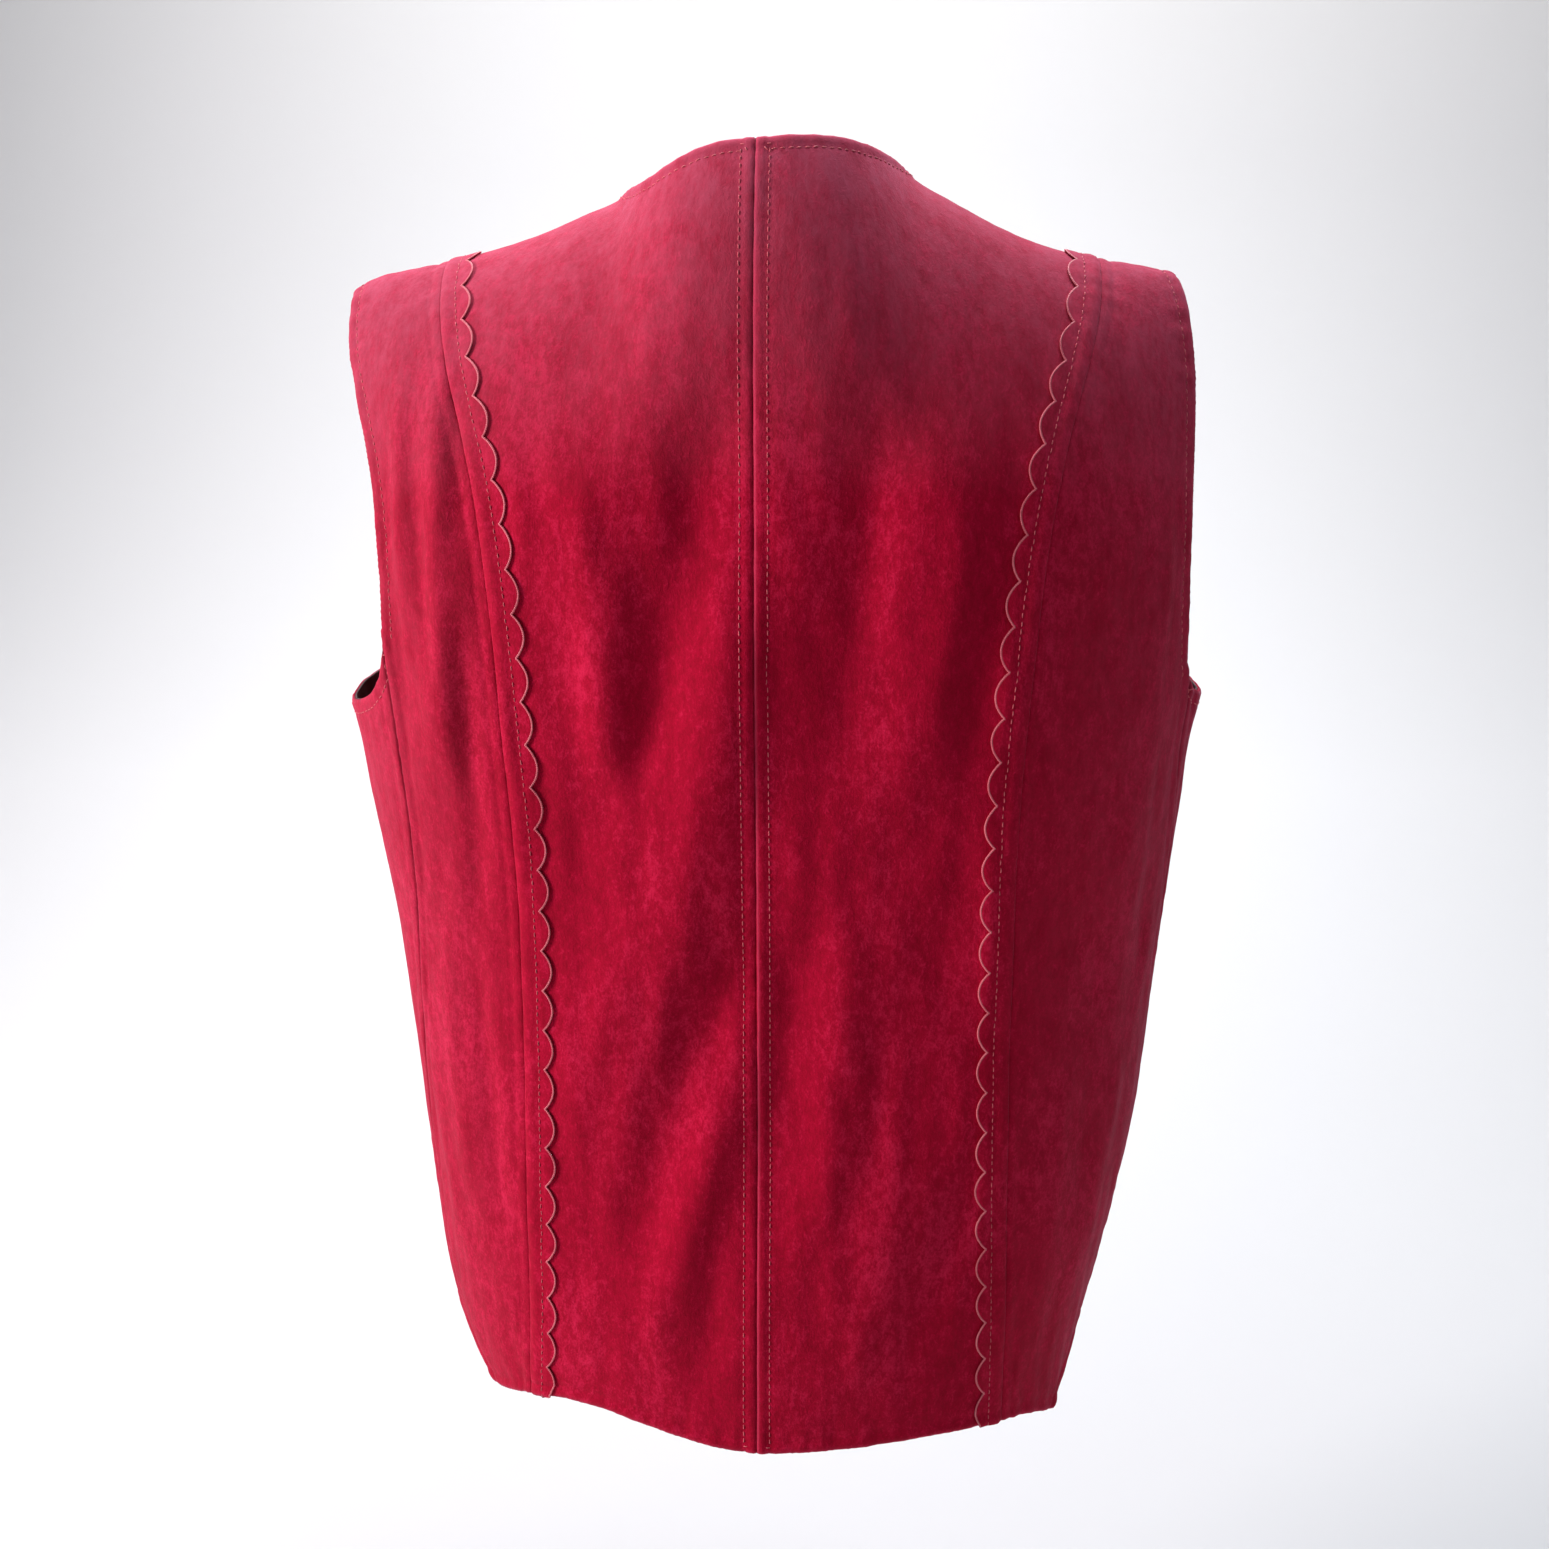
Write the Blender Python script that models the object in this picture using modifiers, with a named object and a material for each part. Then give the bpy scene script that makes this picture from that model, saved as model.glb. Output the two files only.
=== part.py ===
"""A sleeveless vest of crimson suede cloth, filled out as worn and hollow.

Metres, +Z up, the front towards +Y. The origin lies between the neck ends of the two
shoulder seams, where the garment is carried, so the cloth hangs below it.
A place on one side of the garment is given by two numbers. `around` runs from 0 at
centre back through 1 at the side to 2 at centre front. `wrap` is the angle of the
shoulder's round: 0 on the shoulder line, a quarter turn where the cloth hangs upright,
and past that it goes on down.
"""

import math
from typing import NamedTuple

import bmesh
import bpy
import numpy as np

# Driving sizes
BACK_LENGTH = 0.608
NECK_HALF_WIDTH = 0.066
NECK_BACK_HEIGHT = 0.606
SHOULDER_ROUND = 0.165
VENT_HEIGHT = 0.032
VENT_WIDTH = 0.140
CLOTH = 0.0016
SEAM_GAP = 0.0003
STRIP_CLOTH = 0.0012
STRIP_COLUMN = 0.019
SCALLOP_PITCH = 0.0198
SCALLOP_ROOT = 0.0112
SCALLOP_DEPTH = 0.0048
OVERLAP_HALF = 0.012
UNDERLAP_DEPTH = 0.0023
NECKLINE_HEIGHT = 0.398
FRONT_TURN_HEM = 1.22
BUTTON_RADIUS = 0.009
BUTTON_THICKNESS = 0.0036
BUTTON_COUNT = 5
LINING_CLOTH = 0.001
LINING_OUT = -CLOTH - SEAM_GAP
QUARTER = math.pi / 2
HEM_Z = -BACK_LENGTH
LEFT = -1
RIGHT = 1

# How finely the panels are drawn
VENT_ROWS = 2
LOWER_ROWS = 15
UPPER_ROWS = 14
NECK_COLUMNS = 4
YOKE_COLUMNS = 3
SIDE_BACK_COLUMNS = 6
FRONT_PARTS = (0.0, 0.108, 0.185, 0.32, 0.455, 0.59, 0.725, 0.86, 1.0)
FRONT_COLUMNS = len(FRONT_PARTS) - 1
UNDERARM_COLUMNS = 7
LINING_COLUMNS = 3
LINING_ROWS = 1
SCALLOP_STEPS = 5


class Section(NamedTuple):
    """A level section through the filled garment, `height` above the hem."""

    height: float
    left_width: float
    right_width: float
    back_depth: float
    front_depth: float
    centre_y: float
    flatness: float


SECTIONS = (
    Section(0.000, 0.160, 0.160, 0.090, 0.088, 0.008, 1.85),
    Section(0.030, 0.169, 0.165, 0.090, 0.090, 0.008, 1.90),
    Section(0.060, 0.175, 0.172, 0.089, 0.092, 0.008, 2.00),
    Section(0.100, 0.180, 0.181, 0.088, 0.094, 0.008, 2.12),
    Section(0.150, 0.185, 0.190, 0.086, 0.098, 0.008, 2.25),
    Section(0.200, 0.190, 0.195, 0.085, 0.106, 0.008, 2.32),
    Section(0.250, 0.196, 0.200, 0.086, 0.118, 0.008, 2.35),
    Section(0.300, 0.204, 0.205, 0.088, 0.128, 0.006, 2.35),
    Section(0.350, 0.211, 0.210, 0.091, 0.132, 0.005, 2.35),
    Section(0.400, 0.216, 0.215, 0.093, 0.128, 0.005, 2.35),
    Section(0.450, 0.218, 0.218, 0.095, 0.116, 0.005, 2.35),
    Section(0.520, 0.217, 0.217, 0.095, 0.100, 0.003, 2.35),
    Section(0.670, 0.214, 0.214, 0.095, 0.090, 0.000, 2.35),
)
FRONT_FLATNESS = 2.6


class Crest(NamedTuple):
    """The crest of the shoulder, and of the neck above it, at a distance from the middle."""

    across: float
    left: float
    right: float
    y: float


CRESTS = (
    Crest(0.000, 0.060, 0.060, 0.000),
    Crest(0.020, 0.055, 0.055, 0.000),
    Crest(0.040, 0.035, 0.038, 0.000),
    Crest(0.055, 0.009, 0.016, 0.000),
    Crest(0.066, -0.0065, 0.0005, 0.000),
    Crest(0.080, -0.0140, -0.0095, -0.001),
    Crest(0.100, -0.0220, -0.0205, -0.002),
    Crest(0.125, -0.0300, -0.0320, -0.003),
    Crest(0.150, -0.036, -0.039, -0.004),
    Crest(0.178, -0.041, -0.044, -0.005),
    Crest(0.199, -0.048, -0.051, -0.006),
    Crest(0.220, -0.068, -0.068, -0.006),
)


class PrincessPoint(NamedTuple):
    """How far from centre back the princess seams lie, `height` above the hem."""

    height: float
    left: float
    right: float


PRINCESS_SEAM = (
    PrincessPoint(0.000, 0.1175, 0.1195),
    PrincessPoint(0.060, 0.1150, 0.1195),
    PrincessPoint(0.120, 0.1140, 0.1185),
    PrincessPoint(0.220, 0.1130, 0.1175),
    PrincessPoint(0.300, 0.1140, 0.1175),
    PrincessPoint(0.360, 0.1180, 0.1205),
    PrincessPoint(0.420, 0.1220, 0.1265),
    PrincessPoint(0.460, 0.1275, 0.1325),
    PrincessPoint(0.500, 0.1380, 0.1420),
    PrincessPoint(0.530, 0.1460, 0.1500),
    PrincessPoint(0.575, 0.1530, 0.1550),
)


class SeamPoint(NamedTuple):
    """`around` of the two side seams, `height` above the hem."""

    height: float
    left: float
    right: float


SIDE_SEAM = (
    SeamPoint(0.000, 0.865, 0.935),
    SeamPoint(0.070, 0.845, 0.945),
    SeamPoint(0.150, 0.790, 0.940),
    SeamPoint(0.226, 0.720, 0.915),
    SeamPoint(0.290, 0.650, 0.865),
    SeamPoint(0.340, 0.632, 0.815),
    SeamPoint(0.374, 0.636, 0.794),
    SeamPoint(0.390, 0.638, 0.785),
)


class EdgePoint(NamedTuple):
    """A point of an armhole's edge: `around`, and the height above the hem."""

    around: float
    height: float


SHOULDER_TIP = {LEFT: 0.775, RIGHT: 0.690}
NECK_DIP = {LEFT: 0.0100, RIGHT: -0.0020}
HEM_LIFT = {LEFT: 0.0125, RIGHT: 0.0030}
CORNER_DROP = {LEFT: 0.0010, RIGHT: 0.0085}
UNDERARM_HEIGHT = 0.361
# From the top of the side seam, up the back edge, the shoulder tip left out
ARMHOLE_BACK = {
    LEFT: (
        EdgePoint(0.638, 0.390),
        EdgePoint(0.630, 0.412),
        EdgePoint(0.631, 0.437),
        EdgePoint(0.643, 0.465),
        EdgePoint(0.683, 0.493),
        EdgePoint(0.733, 0.518),
        EdgePoint(0.764, 0.540),
    ),
    RIGHT: (
        EdgePoint(0.794, 0.374),
        EdgePoint(0.765, 0.394),
        EdgePoint(0.744, 0.420),
        EdgePoint(0.733, 0.450),
        EdgePoint(0.732, 0.480),
        EdgePoint(0.738, 0.510),
        EdgePoint(0.726, 0.538),
    ),
}
# From the front corner of the armhole, under the arm to the top of the side seam
ARMHOLE_UNDER = {
    LEFT: (
        EdgePoint(1.285, 0.3980),
        EdgePoint(1.205, 0.3750),
        EdgePoint(1.100, 0.3640),
        EdgePoint(0.985, 0.3610),
        EdgePoint(0.880, 0.3625),
        EdgePoint(0.765, 0.3670),
        EdgePoint(0.680, 0.3760),
        EdgePoint(0.638, 0.3900),
    ),
    RIGHT: (
        EdgePoint(1.285, 0.3980),
        EdgePoint(1.205, 0.3750),
        EdgePoint(1.100, 0.3640),
        EdgePoint(0.985, 0.3610),
        EdgePoint(0.930, 0.3620),
        EdgePoint(0.875, 0.3645),
        EdgePoint(0.830, 0.3685),
        EdgePoint(0.794, 0.3740),
    ),
}
# From the same corner, up the front edge, the shoulder tip left out
ARMHOLE_FRONT = (
    EdgePoint(1.285, 0.398),
    EdgePoint(1.330, 0.430),
    EdgePoint(1.340, 0.465),
    EdgePoint(1.315, 0.500),
    EdgePoint(1.270, 0.532),
)


class Fold(NamedTuple):
    """A soft fold through three places, from its top down.

    Places are given by `around`, negative on the left, and the height above the hem. The
    cloth stands out by `rise` along the fold, or sinks where `rise` is negative.
    """

    around_0: float
    height_0: float
    around_1: float
    height_1: float
    around_2: float
    height_2: float
    width: float
    rise: float


# How far apart places are round the garment, for each unit of `around` and half width
FOLD_SPREAD = 1.45
# How far past its ends a fold dies away, up and down
FOLD_FADE = 0.030
FOLDS = (
    # Left side back, from the armhole down
    Fold(-0.565, 0.520, -0.544, 0.464, -0.562, 0.396, 0.012, 0.0026),
    Fold(-0.466, 0.504, -0.461, 0.428, -0.512, 0.331, 0.014, 0.0045),
    # Left centre back
    Fold(-0.300, 0.415, -0.260, 0.343, -0.265, 0.276, 0.014, -0.0030),
    Fold(-0.234, 0.462, -0.207, 0.393, -0.209, 0.325, 0.014, 0.0028),
    Fold(-0.060, 0.491, -0.098, 0.402, -0.197, 0.316, 0.015, -0.0038),
    Fold(-0.030, 0.415, -0.068, 0.321, -0.156, 0.229, 0.016, 0.0042),
    Fold(-0.033, 0.244, -0.136, 0.170, -0.222, 0.094, 0.015, -0.0042),
    # Right centre back
    Fold(0.159, 0.495, 0.139, 0.423, 0.083, 0.322, 0.018, -0.0036),
    Fold(0.270, 0.466, 0.262, 0.402, 0.227, 0.321, 0.018, 0.0030),
    Fold(0.060, 0.254, 0.048, 0.182, 0.023, 0.109, 0.015, -0.0034),
    Fold(0.378, 0.397, 0.360, 0.325, 0.378, 0.224, 0.016, 0.0028),
    # Right side back
    Fold(0.587, 0.454, 0.638, 0.364, 0.670, 0.267, 0.022, 0.0026),
    Fold(0.534, 0.270, 0.602, 0.193, 0.640, 0.115, 0.020, -0.0020),
    # Fronts
    Fold(-1.220, 0.330, -1.150, 0.220, -1.100, 0.120, 0.022, 0.0032),
    Fold(-1.450, 0.240, -1.400, 0.140, -1.380, 0.050, 0.024, 0.0030),
    Fold(-1.620, 0.210, -1.600, 0.120, -1.600, 0.040, 0.020, -0.0024),
    Fold(-1.700, 0.360, -1.580, 0.300, -1.480, 0.220, 0.020, -0.0022),
    Fold(1.250, 0.330, 1.180, 0.220, 1.140, 0.110, 0.022, 0.0030),
    Fold(1.420, 0.250, 1.380, 0.150, 1.360, 0.050, 0.022, 0.0032),
    Fold(1.640, 0.220, 1.620, 0.130, 1.610, 0.050, 0.022, -0.0026),
    Fold(1.720, 0.350, 1.600, 0.290, 1.500, 0.210, 0.020, -0.0024),
)


def through(keys, values):
    """A smooth curve through the given values, natural at both ends."""
    x = np.asarray(keys, float)
    y = np.asarray(values, float)
    step = np.diff(x)
    count = len(x)
    system = np.zeros((count, count))
    right = np.zeros(count)
    system[0, 0] = 1.0
    system[-1, -1] = 1.0
    for i in range(1, count - 1):
        system[i, i - 1] = step[i - 1]
        system[i, i] = 2 * (step[i - 1] + step[i])
        system[i, i + 1] = step[i]
        right[i] = 6 * ((y[i + 1] - y[i]) / step[i] - (y[i] - y[i - 1]) / step[i - 1])
    bend = np.linalg.solve(system, right)

    def value(at):
        at = np.clip(np.asarray(at, float), x[0], x[-1])
        i = np.clip(np.searchsorted(x, at, side="right") - 1, 0, count - 2)
        h = step[i]
        before = (x[i + 1] - at) / h
        after = (at - x[i]) / h
        curve = (before**3 - before) * bend[i] + (after**3 - after) * bend[i + 1]
        return before * y[i] + after * y[i + 1] + curve * h * h / 6

    return value


def column(rows, name, key):
    """The smooth curve of one named column of a table over another."""
    return through([getattr(r, key) for r in rows], [getattr(r, name) for r in rows])


back_depth_at = column(SECTIONS, "back_depth", "height")
front_depth_at = column(SECTIONS, "front_depth", "height")
centre_y_at = column(SECTIONS, "centre_y", "height")
back_flatness_at = column(SECTIONS, "flatness", "height")
crest_y_at = column(CRESTS, "y", "across")
half_width_at = {
    LEFT: column(SECTIONS, "left_width", "height"),
    RIGHT: column(SECTIONS, "right_width", "height"),
}
crest_z_at = {
    LEFT: column(CRESTS, "left", "across"),
    RIGHT: column(CRESTS, "right", "across"),
}
princess_at = {
    LEFT: column(PRINCESS_SEAM, "left", "height"),
    RIGHT: column(PRINCESS_SEAM, "right", "height"),
}
side_seam_at = {
    LEFT: column(SIDE_SEAM, "left", "height"),
    RIGHT: column(SIDE_SEAM, "right", "height"),
}


def around_of(side, across, height):
    """`around` on the back, for a distance from the middle and a height."""
    share = np.clip(np.asarray(across) / half_width_at[side](height), -1.0, 1.0)
    return np.arcsin(share) / QUARTER


def wrap_of(side, around, height):
    """`wrap` for a place around and a height above the hem."""
    across = np.abs(half_width_at[side](height) * np.sin(np.asarray(around) * QUARTER))
    fall = (crest_z_at[side](across) - height - HEM_Z) / SHOULDER_ROUND
    turned = np.arccos(1 - np.clip(fall, 0.0, 1.0))
    return np.where(fall < 1, turned, QUARTER + fall - 1)


def eased(share):
    """A smooth step from 0 to 1."""
    share = np.clip(share, 0.0, 1.0)
    return share * share * (3 - 2 * share)


def fold_line(fold, height):
    """`around` of a fold at a height, and how that changes with height."""
    h0, h1, h2 = fold.height_0, fold.height_1, fold.height_2
    first = (fold.around_1 - fold.around_0) / (h1 - h0)
    second = ((fold.around_2 - fold.around_1) / (h2 - h1) - first) / (h2 - h0)
    held = np.clip(height, h2 - FOLD_FADE, h0 + FOLD_FADE)
    line = fold.around_0 + first * (held - h0) + second * (held - h0) * (held - h1)
    return line, first + second * (2 * held - h0 - h1)


def fold_rise(side, around, height):
    """How far the folds move the cloth out at a place."""
    rise = np.zeros_like(height)
    girth = half_width_at[side](height) * FOLD_SPREAD
    for fold in FOLDS:
        line, lean = fold_line(fold, height)
        aside = (side * around - line) * girth / np.hypot(1.0, lean * girth)
        above = eased((fold.height_0 + FOLD_FADE - height) / (2 * FOLD_FADE))
        below = eased((height - fold.height_2 + FOLD_FADE) / (2 * FOLD_FADE))
        rise = rise + fold.rise * above * below * np.exp(-((aside / fold.width) ** 2))
    return rise


def surface(side, around, wrap, sunk=0.0):
    """Points of the outer face on one side, with its folds, moved in by `sunk`."""
    around, wrap = np.broadcast_arrays(np.asarray(around, float), np.asarray(wrap, float))
    sine = np.sin(around * QUARTER)
    fall = np.where(wrap < QUARTER, 1 - np.cos(wrap), 1 + wrap - QUARTER)
    reach = np.where(wrap < QUARTER, np.sin(wrap), 1.0)
    z = -SHOULDER_ROUND * fall
    for _ in range(8):
        across = half_width_at[side](z - HEM_Z) * sine
        z = crest_z_at[side](np.abs(across)) - SHOULDER_ROUND * fall
    height = z - HEM_Z
    width = half_width_at[side](height)
    across = width * sine
    behind = around < 1
    flatness = np.where(behind, back_flatness_at(height), FRONT_FLATNESS)
    depth = np.where(behind, back_depth_at(height), front_depth_at(height))
    share = np.abs(sine)
    bulge = np.sqrt(np.clip(1 - share**flatness, 0.0, 1.0))
    full_y = centre_y_at(height) + np.where(behind, -1, 1) * depth * bulge
    crest_y = crest_y_at(np.abs(across))
    y = crest_y + (full_y - crest_y) * reach
    out_x = np.sign(sine) * share ** (flatness - 1) * flatness / 2 / width
    out_y = np.where(behind, -1, 1) * bulge / depth
    size = np.hypot(out_x, out_y)
    rise = fold_rise(side, around, height) * reach - sunk
    across = across + rise * out_x / size
    y = y + rise * out_y / size
    return np.stack([side * across, y, z], axis=-1)


def faces_out(side, around, wrap):
    """Outward unit normals of the outer face."""
    step = 0.004
    around = np.asarray(around, float)
    wrap = np.maximum(np.asarray(wrap, float), step)
    across = surface(side, around + step, wrap) - surface(side, around - step, wrap)
    down = surface(side, around, wrap + step) - surface(side, around, wrap - step)
    normal = np.cross(down, across) * side
    return normal / np.linalg.norm(normal, axis=-1, keepdims=True)


def hem_height(side, around):
    """The hem's height: lifted a little beside the middle, let down at the vent's corners."""
    around = np.asarray(around, float)
    wave = np.sin(np.clip(around / 0.72, 0.0, 1.0) * math.pi) ** 2
    corner = np.exp(-(((around - 0.80) / 0.12) ** 2))
    return HEM_LIFT[side] * wave - CORNER_DROP[side] * corner


def lower_height(side, around, share, top):
    """The height of a row that stands at `share` of the way up to `top`."""
    return top * share + hem_height(side, around) * (1 - share) ** 4


def row_shares():
    """How far up from the hem to the underarm each row of the lower cloth stands."""
    vent = VENT_HEIGHT / UNDERARM_HEIGHT
    low = np.linspace(0.0, vent, VENT_ROWS + 1)
    high = np.linspace(vent, 1.0, LOWER_ROWS + 1)
    return np.concatenate([low, high[1:]])


def even_steps(side, around, wrap, count):
    """`around` and `wrap` at even steps along a curve on the cloth."""
    place = surface(side, around, wrap)
    length = np.append(0.0, np.cumsum(np.linalg.norm(np.diff(place, axis=0), axis=-1)))
    at = np.linspace(0.0, length[-1], count + 1)
    return through(length, around)(at), through(length, wrap)(at)


def edge_curve(side, points, tip, count):
    """Even steps along an armhole's edge, on to the shoulder tip if `tip` is given."""
    around = np.array([p.around for p in points])
    wrap = wrap_of(side, around, np.array([p.height for p in points]))
    if tip is not None:
        around = np.append(around, tip)
        wrap = np.append(wrap, 0.0)
    return even_steps(side, around, wrap, count)


def princess_rows(side):
    """`around` and `wrap` of the princess seam at every row, hem to shoulder."""
    shares = row_shares()
    around = np.full(len(shares), 0.45)
    for _ in range(4):
        height = lower_height(side, around, shares, UNDERARM_HEIGHT)
        around = around_of(side, princess_at[side](height), height)
    wrap = wrap_of(side, around, height)
    upper_wrap = np.linspace(wrap[-1], 0.0, UPPER_ROWS + 1)[1:]
    upper = np.full(UPPER_ROWS, around[-1])
    for _ in range(8):
        height = surface(side, upper, upper_wrap)[..., 2] - HEM_Z
        upper = around_of(side, princess_at[side](height), height)
    return np.append(around, upper), np.append(wrap, upper_wrap)


def neck_point_around(side):
    """`around` of the point where the neck edge meets the shoulder seam."""
    height = crest_z_at[side](NECK_HALF_WIDTH) - HEM_Z
    return float(around_of(side, NECK_HALF_WIDTH, height))


class Grid(NamedTuple):
    """A sheet's rows and columns: its points on the outer face and the ways out."""

    place: np.ndarray
    out: np.ndarray


def grid_of(side, around, wrap, sunk=0.0):
    """The grid over arrays of `around` and `wrap`."""
    return Grid(surface(side, around, wrap, sunk), faces_out(side, around, wrap))


def parted(place, row=None, col=None, start=0):
    """Moves the top row, or one edge column, in by half a seam gap, in place."""
    if col is not None:
        inner = place[:, 1 if col == 0 else col - 1]
        edge = place[:, col]
    else:
        inner = place[row - 1, start:]
        edge = place[row, start:]
    way = inner - edge
    edge += way / np.linalg.norm(way, axis=-1, keepdims=True) * (SEAM_GAP / 2)


def centre_back_grid(side):
    """Rows from hem to neck and shoulder, columns from centre back to the princess seam."""
    seam_around, seam_wrap = princess_rows(side)
    nudge = 0.01
    reach = surface(side, seam_around, seam_wrap) - surface(side, seam_around - nudge, seam_wrap)
    strip = STRIP_COLUMN * nudge / np.linalg.norm(reach, axis=-1)
    neck = neck_point_around(side) / (seam_around[-1] - strip[-1])
    turn = np.linspace(0.0, QUARTER, NECK_COLUMNS + 1)
    part = np.append(np.sin(turn) * neck, np.linspace(neck, 1.0, YOKE_COLUMNS + 1)[1:])
    around = np.outer(seam_around - strip, part)
    around = np.concatenate([around, seam_around[:, None]], axis=1)
    shares = row_shares()
    lower = len(shares)
    wrap = np.zeros_like(around)
    height = lower_height(side, around[:lower], shares[:, None], UNDERARM_HEIGHT)
    wrap[:lower] = wrap_of(side, around[:lower], height)
    crest = crest_z_at[side](NECK_HALF_WIDTH) - HEM_Z
    neck_part = np.sin(turn)
    neck_height = NECK_BACK_HEIGHT + (crest - NECK_BACK_HEIGHT) * neck_part**2
    neck_height = neck_height - NECK_DIP[side] * np.sin(neck_part * math.pi)
    top = np.zeros(around.shape[1])
    top[: NECK_COLUMNS + 1] = wrap_of(side, around[-1, : NECK_COLUMNS + 1], neck_height)
    top[NECK_COLUMNS] = 0.0
    climb = np.linspace(0.0, 1.0, UPPER_ROWS + 1)[1:, None]
    wrap[lower:] = wrap[lower - 1] * (1 - climb) + top * climb
    return grid_of(side, around, wrap)


def side_back_grid(side):
    """Rows from hem to shoulder, columns from the princess seam to the side or armhole."""
    seam_around, seam_wrap = princess_rows(side)
    shares = row_shares()
    lower = len(shares)
    across = np.linspace(0.0, 1.0, SIDE_BACK_COLUMNS + 1)
    top = UNDERARM_HEIGHT + (ARMHOLE_BACK[side][0].height - UNDERARM_HEIGHT) * across
    vent = np.clip(1 - shares * UNDERARM_HEIGHT / VENT_HEIGHT, 0.0, 1.0)
    outer = side_seam_at[side](ARMHOLE_BACK[side][0].height * shares) - VENT_WIDTH * vent
    around = seam_around[:lower, None] * (1 - across) + outer[:, None] * across
    wrap = wrap_of(side, around, lower_height(side, around, shares[:, None], top))
    edge = edge_curve(side, ARMHOLE_BACK[side], SHOULDER_TIP[side], UPPER_ROWS)
    upper_around = seam_around[lower:, None] * (1 - across) + edge[0][1:, None] * across
    upper_wrap = seam_wrap[lower:, None] * (1 - across) + edge[1][1:, None] * across
    around = np.concatenate([around, upper_around])
    wrap = np.concatenate([wrap, upper_wrap])
    return grid_of(side, around, wrap)


def neckline_rows(side):
    """`around` and `wrap` up the neckline, from the top of the front edge to the shoulder."""
    steps = np.linspace(0.0, 1.0, 41)
    crest = crest_z_at[side](NECK_HALF_WIDTH) - HEM_Z
    across = -OVERLAP_HALF + (NECK_HALF_WIDTH + OVERLAP_HALF) * np.sin(steps * QUARTER) ** 0.9
    height = NECKLINE_HEIGHT + (crest - NECKLINE_HEIGHT) * steps
    around = 2 - around_of(side, across, height)
    wrap = wrap_of(side, around, height)
    wrap[-1] = 0.0
    return even_steps(side, around, wrap, UPPER_ROWS)


def underlap(side, around):
    """How far the left front sinks to pass under the right one."""
    if side == RIGHT:
        return 0.0
    across = half_width_at[side](0.25) * np.sin(around * QUARTER)
    return UNDERLAP_DEPTH * eased((0.030 - across) / 0.016)


def front_grids(side):
    """The lower grid, from front edge to side seam, and the one over it to the shoulder."""
    shares = row_shares()
    seam_top = ARMHOLE_UNDER[side][-1].height
    vent = np.clip(1 - shares * UNDERARM_HEIGHT / VENT_HEIGHT, 0.0, 1.0)
    seam = side_seam_at[side](seam_top * shares) + VENT_WIDTH * vent
    inner = 2 - around_of(side, -OVERLAP_HALF, NECKLINE_HEIGHT * shares)
    turn = FRONT_TURN_HEM * (1 - shares) + ARMHOLE_UNDER[side][0].around * shares
    part = np.array(FRONT_PARTS)
    front = inner[:, None] * (1 - part) + turn[:, None] * part
    under = edge_curve(side, ARMHOLE_UNDER[side], None, UNDERARM_COLUMNS)
    under_height = surface(side, under[0], under[1])[:, 2] - HEM_Z
    under_height[-1] = seam_top
    rest = (under[0] - under[0][0]) / (under[0][-1] - under[0][0])
    back = turn[:, None] * (1 - rest[1:]) + seam[:, None] * rest[1:]
    around = np.concatenate([front, back], axis=1)
    top = np.append(np.full(FRONT_COLUMNS + 1, NECKLINE_HEIGHT), under_height[1:])
    hem_side = np.where(around > 1, 2 - around, around)
    height = lower_height(side, hem_side, shares[:, None], top)
    wrap = wrap_of(side, around, height)
    lower = grid_of(side, around, wrap, underlap(side, around))
    line = neckline_rows(side)
    edge = edge_curve(side, ARMHOLE_FRONT, 2 - SHOULDER_TIP[side], UPPER_ROWS)
    upper_around = line[0][1:, None] * (1 - part) + edge[0][1:, None] * part
    upper_wrap = line[1][1:, None] * (1 - part) + edge[1][1:, None] * part
    upper_around = np.concatenate([front[-1:], upper_around])
    upper_wrap = np.concatenate([wrap[-1:, : FRONT_COLUMNS + 1], upper_wrap])
    upper = grid_of(side, upper_around, upper_wrap, underlap(side, upper_around))
    return lower, upper


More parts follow.
